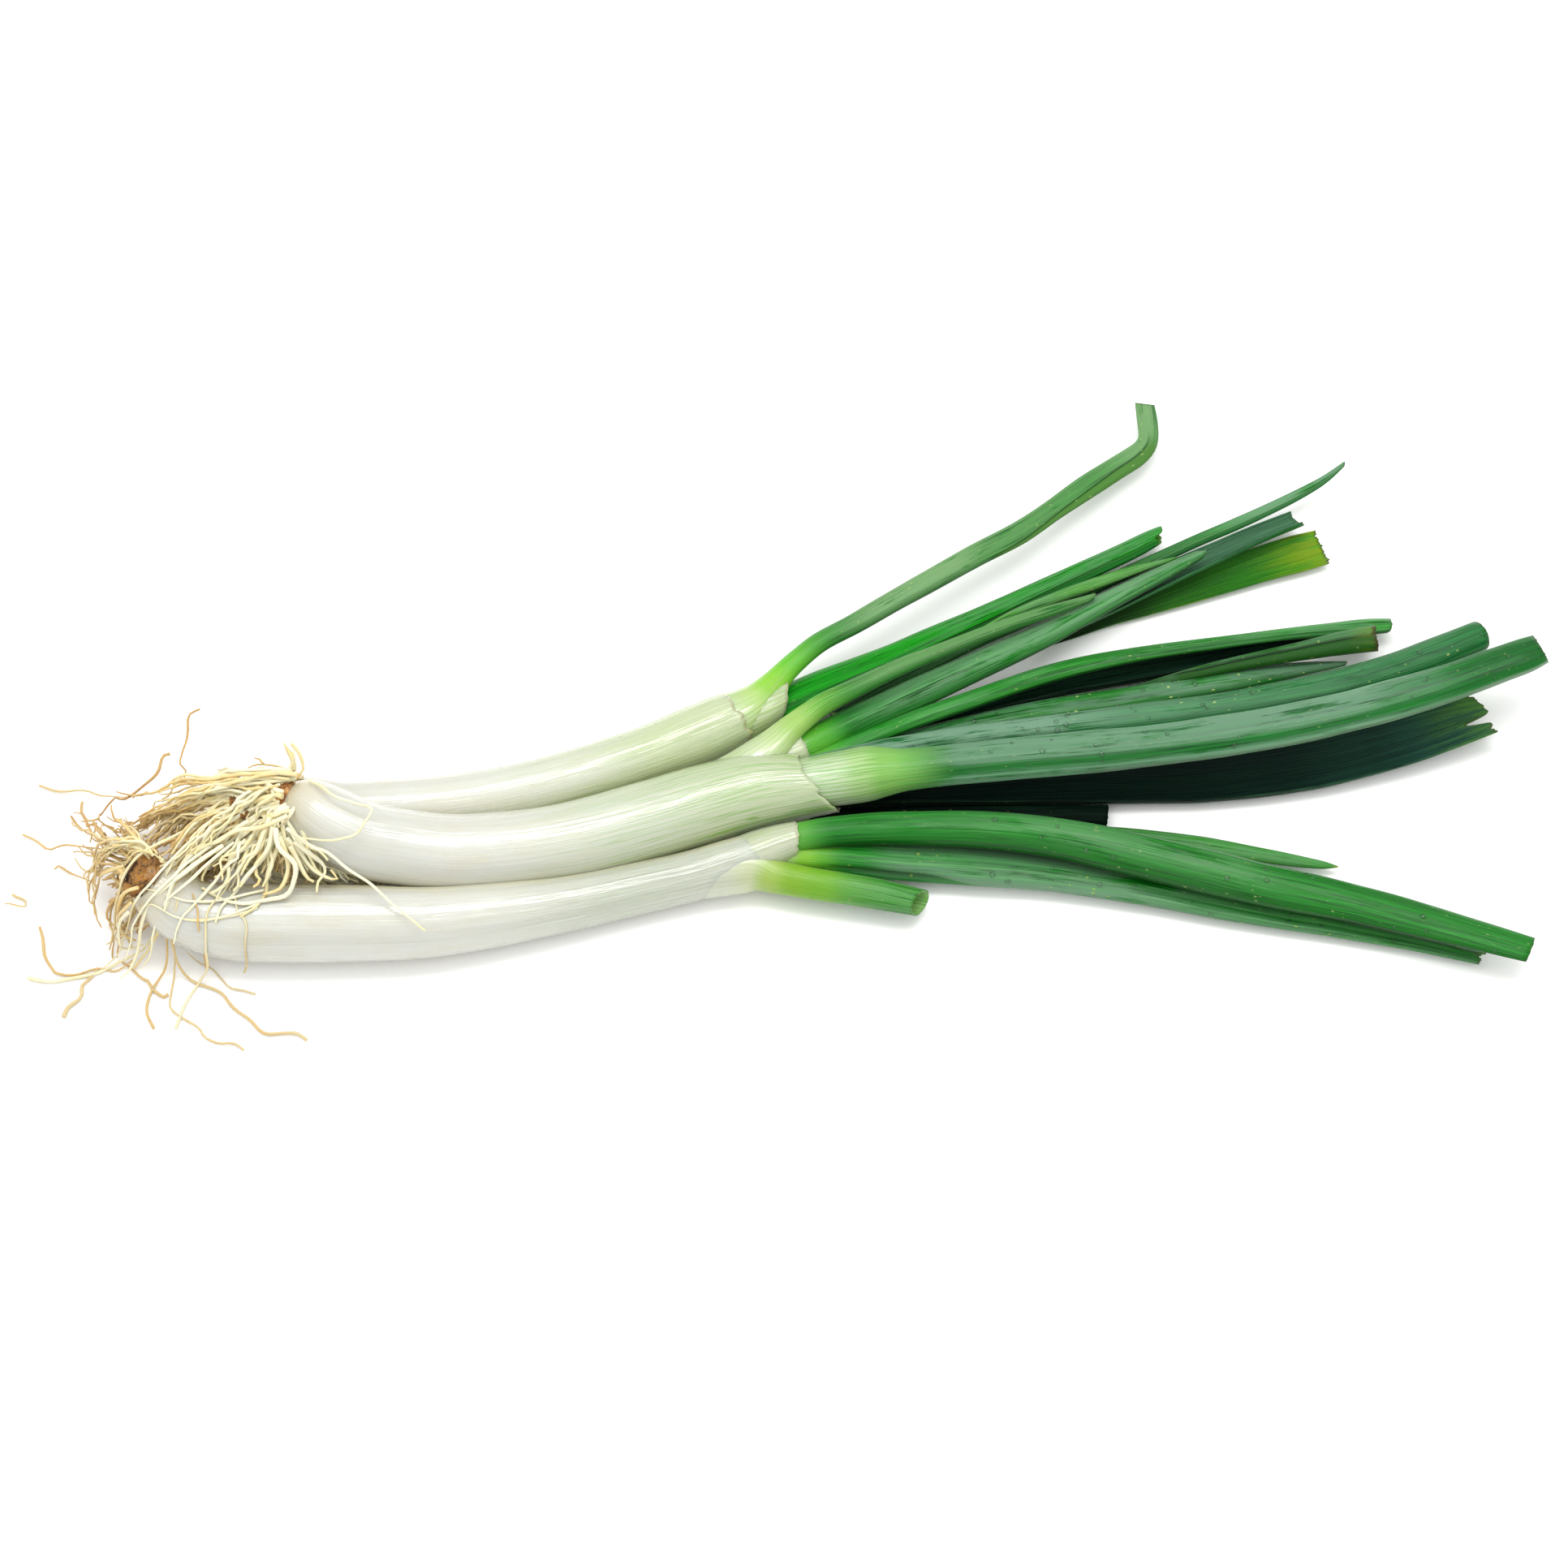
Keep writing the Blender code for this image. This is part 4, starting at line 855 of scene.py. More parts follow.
            "bright": (0.022, 0.08, 0.03), "bloom": 0.3, "bloomFrom": 0.55, "bloomColour": (0.08, 0.14, 0.1),
            "bloomAlong": [(0, 0), (0.5, 0.3), (1, 1)], "baseEnd": 1.0,
            "shadeAlong": [(0.0, 0.3), (0.45, 0.35), (0.65, 0.8), (0.8, 1.3), (1.0, 2.0)],
            "shadeBand": [(0.0, 1.0), (1.0, 1.0)],
            "innerShadeAlong": [(0.0, 0.3), (0.5, 0.38), (0.68, 0.5), (0.82, 1.0), (0.92, 1.7), (1.0, 2.2)],
            "inner": (0.013, 0.05, 0.031), "innerDark": (0.007, 0.024, 0.019), "dryReach": 1.0, "dots": 0.2,
            "specular": 0.05, "tip": {"from": 0.88, "colour": (0.09, 0.24, 0.03), "amount": 0.75},
            "sheen": 0.03},
    },
    "middleCutStub": {
        "route": [(6, -31, 5, 2.6), (20, -30.4, 2.6, 3.0), (42, -29.8, 2.2, 3.2), (65, -30, 2.2, 3.2),
            (91, -30.5, 2.2, 3.3)],
        "thick": 0.6, "end": {"slant": 0.3, "torn": 0.4, "ragged": 0.2}, "slot": "shaded_leaf",
        "replaces": ["middle_cut_stub"],
        # the stub's near-black greens are painted shadow: it lies under the other leaves
        "look": {**paintedShadowGreen, "seed": 89.0, "bloom": 0.0, "baseEnd": 1.0, "inner": (0.02, 0.06, 0.02),
            "dry": 0.0, "specular": 0.03, "roughness": 0.5, "sheen": 0.03},
    },
    "frontCutStub": {
        "route": [(-40, -56.4, 7.1, 5.4), (-36, -55.3, 7.1, 6.1), (-32, -54.3, 7.15, 6.6),
            (-26.1, -52.8, 7.2, 6.95), (-20, -51.6, 7.3, 7.1), (-14.9, -50.8, 7.4, 7.2),
            (-9.2, -50.3, 7.6, 6.95), (-6.8, -50.8, 7.7, 6.4), (-4.5, -51.9, 7.8, 5.6),
            (-1.8, -53.2, 7.9, 4.9), (2, -54.2, 8, 4.65), (7.6, -55.4, 8, 4.55), (15.5, -56.8, 8, 4.55),
            (24.9, -58.5, 7.9, 4.4), (31.2, -59.8, 7.7, 4.2), (37.6, -61.2, 7.5, 4.0)],
        "thick": [(0, 0.98), (0.5, 0.95), (1, 0.92)], "columns": 64,
        "wall": [(0, 2.6), (0.4, 2.2), (0.6, 1.2), (0.9, 0.75), (1, 0.7)], "soften": 1.0, "spacing": 1.1,
        "end": {"slant": 1.9, "slantAt": 0.72, "ragged": 0.12, "stretch": 8.0}, "slot": "leaf",
        "uneven": [(0, 0.008), (0.5, 0.01), (0.7, 0.03), (1, 0.03)], "replaces": ["front_cut_stub"],
        "ribs": {"count": 50, "height": 0.012},
        "look": {**freshGreen, "seed": 97.0, "green": (0.035, 0.215, 0.022), "bright": (0.085, 0.3, 0.05),
            "bloomColour": (0.15, 0.31, 0.13), "bloomAlong": [(0, 0), (0.6, 0.3), (0.8, 1), (1, 0.8)],
            "bloomSheenBand": [(0.0, 0.8), (0.2, 1.0), (0.3, 0.5), (0.5, 0.3), (1.0, 0.5)], "baseEnd": 73.0,
            "baseHold": 0.72, "baseStreak": 7.0, "baseRibs": 0.18,
            "base": [(0.0, (0.44, 0.47, 0.37)), (0.3, (0.44, 0.47, 0.36)), (0.44, (0.42, 0.47, 0.26)),
                (0.52, (0.28, 0.41, 0.07)), (0.6, (0.17, 0.35, 0.012)), (0.7, (0.13, 0.335, 0.01)),
                (0.84, (0.08, 0.29, 0.03)), (1.0, (0.05, 0.25, 0.02))], "ribColour": (0.36, 0.46, 0.18),
            "dots": 0.7, "dotColour": (0.34, 0.4, 0.16), "dry": 0.1, "inner": (0.22, 0.42, 0.12),
            "innerDark": (0.09, 0.28, 0.04), "specular": 0.2},
    },
    "frontSlimLeaf": {
        "route": [(-18, -50.2, 8.0, 5.2), (-12, -48.6, 8.3, 5.4), (-5.9, -46.9, 8.5, 5.0),
            (-1.4, -46.2, 8.4, 4.5), (4.3, -46.0, 8.0, 4.3), (9.9, -46.1, 7.4, 4.7), (16.7, -46.4, 6.8, 5.4),
            (30.3, -47.0, 5.9, 6.3), (43.9, -47.5, 5.3, 6.6), (59.7, -48.6, 4.7, 6.5),
            (75.5, -50.4, 4.4, 6.0), (98, -54.5, 3.8, 5.3), (125, -60.8, 3.3, 4.5), (151, -66.0, 3.0, 3.7),
            (178, -72.0, 2.7, 2.9), (192, -75.8, 2.5, 2.4)],
        "thick": [(0, 0.9), (0.1, 0.85), (0.25, 0.6), (1, 0.5)], "roll": [(0, 0), (0.2, -10), (1, -14)],
        "columns": 56, "soften": 1.4,
        "grooves": [{"at": [(0.1, -0.42), (0.36, -0.5)], "width": 0.09, "depth": 0.4, "start": 0.12,
                "end": 0.34}, {"at": -0.15, "width": 0.1, "depth": 0.25, "start": 0.5, "end": 1.02}],
        "end": {"slant": 0.8, "torn": 1.2, "ragged": 0.5, "notches": [(0.0, 0.12, 2.0)]}, "slot": "leaf",
        "replaces": ["front_slim_leaf"], "wall": [(0, 1.8), (0.1, 1.2), (0.2, 0.5), (1, 0.45)],
        "look": {**freshGreen, "seed": 101.0, "bloom": 0.9, "bloomFrom": 0.45,
            "bloomColour": (0.15, 0.27, 0.17),
            "bloomSheenBand": [(0.0, 0.9), (0.26, 1.0), (0.36, 0.6), (0.44, 0.25), (0.5, 0.5), (0.6, 0.8),
                (1.0, 0.5)],
            "bloomAlong": [(0, 0), (0.18, 0.05), (0.24, 0.9), (0.5, 1.0), (0.7, 0.5), (1, 0.4)],
            "baseEnd": 38.0, "baseHold": 0.66, "baseRibs": 0.18, "baseStreak": 8.0,
            "base": [(0.0, (0.52, 0.56, 0.4)), (0.3, (0.48, 0.55, 0.33)), (0.42, (0.26, 0.47, 0.08)),
                (0.5, (0.34, 0.5, 0.16)), (0.62, (0.2, 0.44, 0.03)), (0.78, (0.11, 0.37, 0.02)),
                (1.0, (0.04, 0.27, 0.02))], "dots": 0.9, "dotColour": (0.24, 0.36, 0.06), "dry": 0.5,
            "folds": [{"share": (0.12, 0.34), "at": (-0.42, -0.5), "below": (0.008, 0.13, 0.012),
                    "strength": 0.75, "lineStrength": 0.3}],
            "shadeBand": [(0.0, 0.8), (0.25, 0.9), (0.4, 1.0), (1.0, 1.0)]},
    },
    "frontNeckLip": {
        "route": [(-22, -51.6, 7.6, 5.6), (-14, -49.0, 8.4, 6.4), (-7, -46.4, 9.4, 6.3),
            (-2, -44.7, 10.4, 5.7), (3.2, -43.2, 11.2, 4.9)],
        "thick": 0.95, "columns": 56, "wall": [(0, 3.0), (0.75, 2.6), (1, 0.5)],
        "end": {"slant": 1.8, "slantAt": 0.2, "ragged": 0.35, "torn": 0.4, "stretch": 8.0}, "slot": "sheath",
        "spacing": 1.0, "ribs": {"count": 26, "height": 0.05},
        "skin": {"seed": 105.0, "greenFrom": -30.0, "greenFull": -2.0, "wash": 0.9,
            "flankLight": [(0.0, 1.0), (1.0, 1.0)], "bounceGlowBand": [(0.0, 0.0), (1.0, 0.0)], "freckles": 0.9,
            "pale": (0.45, 0.475, 0.34), "rimStrength": 0.5, "rim": (0.56, 0.5, 0.32), "veinCount": 70.0},
    },
    "frontBroadLeaf": {
        "route": [(-14, -48.2, 9.0, 4.6), (-8, -45.8, 10.0, 4.8), (-2, -43.8, 10.9, 4.4),
            (4.3, -42.7, 11.8, 4.1), (9.9, -42.0, 12.4, 4.3), (16.7, -41.4, 12.8, 4.5),
            (25.7, -40.9, 13, 4.8), (36, -40.8, 13.0, 5.0), (53, -41.0, 12.8, 5.4), (75, -43.2, 12.0, 5.9),
            (98, -48.3, 11.2, 6.5), (115, -52.7, 10.7, 6.6), (133, -57.3, 10.3, 6.4), (151, -61.3, 10, 6.2),
            (168, -65.9, 10, 5.6), (186, -71.3, 10, 5.0), (204.0, -77.1, 10, 4.2)],
        "thick": [(0, 0.85), (0.12, 0.85), (0.3, 0.9), (0.6, 0.8), (0.9, 0.42), (1, 0.3)],
        "roll": [(0, 0), (0.3, -6), (1, -4)], "columns": 60,
        "grooves": [{"at": [(0.3, -0.2), (0.7, -0.18)], "width": 0.22, "depth": 0.14, "start": 0.35,
                "end": 0.95}],
        "end": {"slant": 0.5, "torn": 0.3, "ragged": 0.15}, "slot": "leaf", "replaces": ["front_broad_leaf"],
        "wall": [(0, 1.8), (0.1, 1.2), (0.2, 0.5), (1, 0.45)],
        "look": {**freshGreen, "seed": 103.0, "dark": (0.0005, 0.07, 0.004), "green": (0.001, 0.14, 0.003),
            "bright": (0.005, 0.2, 0.008), "bloom": 0.4, "bloomFrom": 0.47,
            "bloomColour": (0.13, 0.28, 0.13),
            "bloomSheenBand": [(0.0, 0.1), (0.24, 0.1), (0.36, 0.3), (0.46, 1.0), (0.72, 1.0), (1.0, 0.3)],
            "bloomAlong": [(0, 0), (0.25, 0.35), (0.4, 0.9), (0.62, 0.8), (0.72, 0.15), (1, 0.1)],
            "baseEnd": 30.0, "baseHold": 0.55, "baseRibs": 0.15, "baseStreak": 6.0,
            "shadeBand": [(0.0, 0.2), (0.14, 0.22), (0.22, 0.35), (0.3, 0.75), (0.4, 1.0), (1.0, 1.0)],
            "base": [(0.0, (0.5, 0.55, 0.38)), (0.46, (0.42, 0.54, 0.26)), (0.6, (0.1, 0.36, 0.04)),
                (1.0, (0.05, 0.3, 0.03))], "dots": 0.4, "dry": 0.3, "sheen": 0.04},
    },
    "frontTipLeaf": {
        "route": [(48, -35, 3, 2.2), (76, -36.2, 3, 2.5), (99, -38.0, 3, 2.7), (117, -40.6, 3, 2.8),
            (135, -44.0, 3, 2.3), (146, -46.1, 3, 1.7), (151.5, -47.0, 3, 1.1), (154.6, -47.4, 3, 0.25)],
        "thick": 0.45, "columns": 36, "soften": 1.0, "slot": "leaf", "replaces": ["front_tip_leaf"],
        "look": {**freshGreen, "seed": 107.0, "green": (0.03, 0.2, 0.014), "bloom": 0.4, "baseEnd": 1.0,
            "dry": 0.5, "dryColour": (0.28, 0.36, 0.04), "dryReach": 2.2},
    },
}

for name, piece in leaves.items():
    piece["material"] = (shankSkin(name + " skin", piece["skin"])
                         if "skin" in piece else leafSkin(name + " skin", piece["look"]))
    wrapSheet(name, piece)
print("leaves made")


def nodeTree(name, inputs):
    # an empty geometry tree with a geometry in and out, and named inputs for its sizes
    tree = bpy.data.node_groups.new(name, "GeometryNodeTree")
    tree.interface.new_socket("Geometry", in_out="INPUT", socket_type="NodeSocketGeometry")
    for label, kind, value in inputs:
        socket = tree.interface.new_socket(label, in_out="INPUT", socket_type="NodeSocket" + kind)
        if value is not None:
            socket.default_value = value
    tree.interface.new_socket("Geometry", in_out="OUTPUT", socket_type="NodeSocketGeometry")
    given = {socket.name: Field(socket) for socket in tree.nodes.new("NodeGroupInput").outputs}
    return tree, given, tree.nodes.new("NodeGroupOutput").inputs


def named(tree, label, kind="FLOAT"):
    return step(tree, "GeometryNodeInputNamedAttribute", {"data_type": kind}, Name=label)


def growRoots():
    # each guide line grows a number of strands that spread, wander and thin out towards their tips
    tree, given, result = nodeTree("growRoots",
                                   [("Step", "Float", 0.0016), ("Wander", "Float", 0.0012),
                                    ("Curl size", "Float", 110.0), ("Shortest", "Float", 0.7),
                                    ("Seed", "Int", 1), ("Skin", "Material", None)])
    line = step(tree, "GeometryNodeMeshToCurve", Mesh=given["Geometry"])
    line = step(tree, "GeometryNodeCurveSplineType", {"spline_type": "CATMULL_ROM"}, Curve=line)
    line = step(tree, "GeometryNodeResampleCurve", {"mode": "LENGTH"}, Curve=line, Length=given["Step"])
    copies = step(tree, "GeometryNodeDuplicateElements", {"domain": "SPLINE"}, Geometry=line,
                  Amount=named(tree, "amount"))
    numbered = step(tree, "GeometryNodeStoreNamedAttribute", {"data_type": "FLOAT", "domain": "CURVE"},
                    Geometry=copies, Name="strand", Value=step(tree, "GeometryNodeInputIndex"))
    seed = given["Seed"]

    def chance(low, high, shift, kind="FLOAT"):
        return step(tree, "FunctionNodeRandomValue", {"data_type": kind}, Min=low, Max=high,
                    ID=named(tree, "strand"), Seed=seed + shift)

    longest = step(tree, "FunctionNodeRandomValue", {"data_type": "FLOAT"}, Min=given["Shortest"], Max=1.0,
                   Seed=seed + 31)
    trimmed = step(tree, "GeometryNodeTrimCurve", {"mode": "FACTOR"}, Curve=numbered, Start=0.0, End=longest)
    share = step(tree, "GeometryNodeSplineParameter")
    place = step(tree, "GeometryNodeInputPosition")
    first = scaled(chance((-1, -1, -1), (1, 1, 1), 3, "FLOAT_VECTOR"), named(tree, "spreadStart"))
    last = scaled(chance((-1, -1, -0.6), (1, 1, 0.8), 7, "FLOAT_VECTOR"), named(tree, "spreadEnd"))
    opened = share ** 0.8
    drift = vector("ADD", scaled(first, 1.0 - opened), scaled(last, opened))
    curl = wire(tree, "ShaderNodeTexNoise", {"noise_dimensions": "4D"}, Vector=place,
                W=named(tree, "strand") * 2.37, Scale=given["Curl size"], Detail=1.5, Roughness=0.5)
    bend = vector("SUBTRACT", out(curl, "Color"), (0.5, 0.5, 0.5))
    reach = given["Wander"] * named(tree, "loose") * share ** 0.6
    drift = vector("ADD", drift, scaled(bend, reach * 2.0))
    moved = step(tree, "GeometryNodeSetPosition", Geometry=trimmed, Offset=drift)
    lumps = step(tree, "ShaderNodeTexNoise", {"noise_dimensions": "4D"}, Vector=place,
                 W=named(tree, "strand"), Scale=260.0, Detail=0.0)
    taper = 1.0 - share ** 1.6 * 0.55
    size = named(tree, "thick") * chance(0.7, 1.12, 11) * taper * (0.75 + lumps * 0.5)
    x, y, z = split(step(tree, "GeometryNodeInputPosition"))
    lifted = joined(x, y, maths("MAXIMUM", z, named(tree, "thick") * 0.8 + 0.0001))
    moved = step(tree, "GeometryNodeSetPosition", Geometry=moved, Position=lifted)
    sized = step(tree, "GeometryNodeSetCurveRadius", Curve=moved, Radius=size)
    toned = step(tree, "GeometryNodeStoreNamedAttribute", {"data_type": "FLOAT_VECTOR", "domain": "POINT"},
                 Geometry=sized, Name="root", Value=joined(share, chance(0.0, 1.0, 17), named(tree, "tan")))
    ring = step(tree, "GeometryNodeCurvePrimitiveCircle", {"mode": "RADIUS"}, Resolution=6, Radius=1.0)
    tube = step(tree, "GeometryNodeCurveToMesh", Curve=toned, Profile_Curve=ring, Fill_Caps=True,
                Scale=step(tree, "GeometryNodeInputRadius"))
    smooth = step(tree, "GeometryNodeSetShadeSmooth", Geometry=tube)
    real = step(tree, "GeometryNodeRealizeInstances", Geometry=smooth)
    feed(result["Geometry"], step(tree, "GeometryNodeSetMaterial", Geometry=real, Material=given["Skin"]))
    return tree


def runTree(name, base, tree, values):
    # the tree's result as a plain mesh, with no modifier left
    holder = bpy.data.objects.new(name + "Source", base)
    bpy.context.scene.collection.objects.link(holder)
    modifier = holder.modifiers.new("grow", "NODES")
    modifier.node_group = tree
    for socket in tree.interface.items_tree:
        if socket.item_type == "SOCKET" and socket.in_out == "INPUT" and (socket.name in values):
            modifier[socket.identifier] = values[socket.name]
    depsgraph = bpy.context.evaluated_depsgraph_get()
    mesh = bpy.data.meshes.new_from_object(holder.evaluated_get(depsgraph))
    bpy.data.objects.remove(holder)
    mesh.name = name
    return mesh


frontLine = smoothRoute(frontShank["route"], 1.5)


def restingHeight(x, y):
    # how high a strand lies at this spot of the plan: on the front shank, or on the table
    gaps = np.hypot(frontLine[:, 0] - x, frontLine[:, 1] - y)
    nearest = frontLine[np.argmin(gaps)]
    if gaps.min() > nearest[3] * 0.985:
        return 0.9
    return nearest[2] + math.sqrt(nearest[3] ** 2 - gaps.min() ** 2) + 0.45


def guideMesh(name, guides):
    # the guide lines as loose edges, with what each line's strands need to know
    points, edges, facts = [], [], []
    for guide in guides:
        start = len(points)
        for spot in guide["line"]:
            if len(spot) == 2:
                spot = (*spot, restingHeight(*spot))
            points.append(tuple((np.array(spot, float) + bunchShift) * mm))
            facts.append(guide)
        edges += [(i, i + 1) for i in range(start, len(points) - 1)]
    mesh = bpy.data.meshes.new(name + "Guides")
    mesh.from_pydata(points, edges, [])
    for key, usual, unit in (
            ("amount", 1, 1), ("spreadStart", 0.0, mm), ("spreadEnd", 0.0, mm), ("thick", 0.5, mm),
            ("tan", 0.3, 1), ("loose", 1.0, 1)):
        values = [guide.get(key, usual) * unit for guide in facts]
        mesh.attributes.new(key, "FLOAT", "POINT").data.foreach_set("value", values)
    return mesh


def rootSkin():
    # cream near the plate, tan towards the tip, each strand its own tone, painted depth shade on the low tan
    # strands, soil dots and fine wrinkles
    material, shader, (share, chance, tan) = startMaterial("dried root skin", "root")
    spot = out(wire(shader.id_data, "ShaderNodeTexCoord"), "Object")
    patches, fine = cloud(spot, 130.0, 3.0), cloud(spot, 900.0, 2.0)
    tone = tan * 0.8 + (chance - 0.5) * 0.45 + share ** 2.0 * 0.22 + (patches - 0.5) * 0.7
    colour = ramp(tone,
                  [(0.0, (0.8, 0.77, 0.58)), (0.25, (0.79, 0.7, 0.41)), (0.5, (0.74, 0.56, 0.25)),
                   (0.78, (0.6, 0.38, 0.14)), (1.0, (0.32, 0.16, 0.05))], smooth=False)
    # painted depth shade: tan strands low down in the tuft are darkened towards brown
    depthShade = outside(split(spot)[2], 0.012, 0.027) * between(tan, 0.06, 0.2)
    colour = mix(depthShade * 0.5, colour, (0.4, 0.25, 0.09))
    dirt = between(fine, 0.6, 0.72) * between(patches, 0.45, 0.62) * (tan * 0.6 + 0.1)
    colour = mix(dirt, colour, (0.22, 0.11, 0.04))
    dress(shader, Base_Color=colour, Roughness=fine * 0.3 + 0.36, Specular_IOR_Level=0.35,
          Subsurface_Weight=0.25, Subsurface_Radius=(1.0, 0.7, 0.3), Subsurface_Scale=0.0012,
          Normal=bumps(fine + patches, 0.5, 0.00015))
    return material


def guideLines(columns, rows, **shared):
    # one dictionary per guide line; its numbers stand in the columns' order and the line comes last
    return [{**shared, **dict(zip(columns, row)), "line": row[-1]} for row in rows]


tuftColumns = ("amount", "spreadStart", "spreadEnd", "thick", "tan", "loose")
strandColumns = ("thick", "tan")
# the bundle that trails off to the left, then thick cream strands hanging over the front shank
middleRoots = guideLines(tuftColumns, [
    (15, 1.6, 5, 0.66, 0.24, 1,
        [(-135, -35, 32), (-141, -35.5, 32.5), (-149, -36, 31), (-157, -36, 28), (-166, -36, 23),
            (-173, -36.5, 17), (-181, -37, 10)]),
    (18, 2.2, 5.5, 0.66, 0.3, 1.3,
        [(-137, -36, 30), (-144, -39, 29), (-152, -38.5, 27), (-160, -38, 23), (-169, -38, 17),
            (-176, -40, 11)]),
    (20, 2.4, 5.5, 0.66, 0.36, 1.6,
        [(-138, -38, 28), (-144, -41, 27), (-151, -43, 24), (-159, -44, 19), (-166, -46, 14),
            (-171, -49, 10)]),
    (15, 2.4, 5, 0.68, 0.28, 1.6,
        [(-138, -40, 27), (-145, -43, 26), (-153, -48, 24.5), (-159, -52, 23), (-166, -56, 21)]),
    (17, 2.4, 5, 0.74, 0.04, 1.6,
        [(-139, -42, 26), (-143, -47, 26.5), (-148, -54, 25.5), (-152, -60, 24), (-156, -65, 22.5)]),
    (13, 2.2, 5, 0.76, 0.02, 1.6, [(-139, -44, 27), (-140, -51, 27), (-142, -57, 25.5), (-145, -63, 23.2)]),
    (7, 1.4, 3.4, 0.74, 0, 1.2, [(-137, -44, 28), (-134, -51, 27), (-131, -56, 25), (-128, -60, 23)]),
    (18, 3.8, 4.8, 0.85, 0.12, 2.2, [(-138, -38, 28), (-141, -40, 28), (-143, -42, 26), (-144, -45, 23)]),
    (26, 3.8, 5.5, 0.7, 0.78, 2.2, [(-139, -36, 27), (-144, -38, 26), (-148, -42, 24), (-150, -47, 21)]),
    (16, 3, 5, 0.8, 0.06, 1.8, [(-135.5, -42, 29), (-138, -45, 29), (-140, -49, 27.5), (-141, -54, 26)]),
    (6, 1.6, 2.6, 0.72, 0.02, 1.2, [(-134, -46, 26), (-133, -50, 26), (-131, -54, 24.5), (-128, -57, 23)]),
    (30, 3.4, 3.4, 0.74, 0.02, 1.4, [(-140, -46, 14), (-131, -51, 8), (-121, -54, 5), (-111, -57, 4)]),
    (26, 3.4, 3.4, 0.74, 0.03, 1.4, [(-152, -47, 12), (-142, -52, 8), (-132, -55, 6), (-124, -57, 5)]),
    (30, 4.2, 4.6, 0.74, 0.24, 1.8, [(-147, -44, 18), (-155, -49, 13), (-163, -53, 9), (-171, -56, 6)]),
    (22, 2.6, 4.2, 0.68, 0.05, 1.6, [(-138, -41, 22), (-134, -46, 19), (-128, -51, 16), (-121, -55, 13)]),
    (20, 3, 4.6, 0.68, 0.22, 1.8, [(-139, -43, 22), (-138, -49, 19), (-136, -54, 17), (-134, -58, 15)]),
    (5, 0.8, 1.5, 0.6, 0.1, 0.8, [(-135, -33, 32), (-134, -31, 34), (-136, -26, 35)]),
    (16, 4.2, 5.5, 0.5, 0.42, 2.2, [(-163, -38, 18), (-169, -40, 16), (-174, -44, 14), (-178, -49, 13)]),
    (30, 4.4, 5.6, 0.74, 0.75, 2, [(-146, -41, 21), (-153, -45, 17), (-160, -50, 14), (-167, -55, 12)]),
    (9, 4, 4.5, 0.56, 0.2, 2.2, [(-152, -40, 26), (-157, -46, 25.5), (-160, -53, 24), (-165, -60, 22)]),
    (7, 2.5, 4, 0.6, 0.12, 1.8,
        [(-143, -37, 30), (-150, -43, 30), (-157, -50, 28), (-162, -57, 26), (-165, -64, 23)]),
])
rearRoots = guideLines(tuftColumns, [
    (14, 2, 4.5, 0.64, 0.36, 1.3,
        [(-136, -26, 13.5), (-144, -25, 14.5), (-153, -26, 14), (-162, -28, 12), (-171, -29, 8)]),
    (14, 3, 4.5, 0.62, 0.55, 1.3,
        [(-137, -29, 9), (-145, -30, 9), (-154, -32, 8), (-163, -34, 6), (-171, -38, 4)]),
    (4, 2.5, 4, 0.42, 0.62, 2.2,
        [(-166, -32, 14), (-174, -33, 8), (-180, -35, 4), (-186, -33, 3), (-192, -29, 2)]),
    (5, 2.5, 4.5, 0.42, 0.62, 2.4,
        [(-169, -35, 12), (-176, -35, 8), (-182, -37, 5), (-187, -38, 5), (-193, -34, 4)]),
])
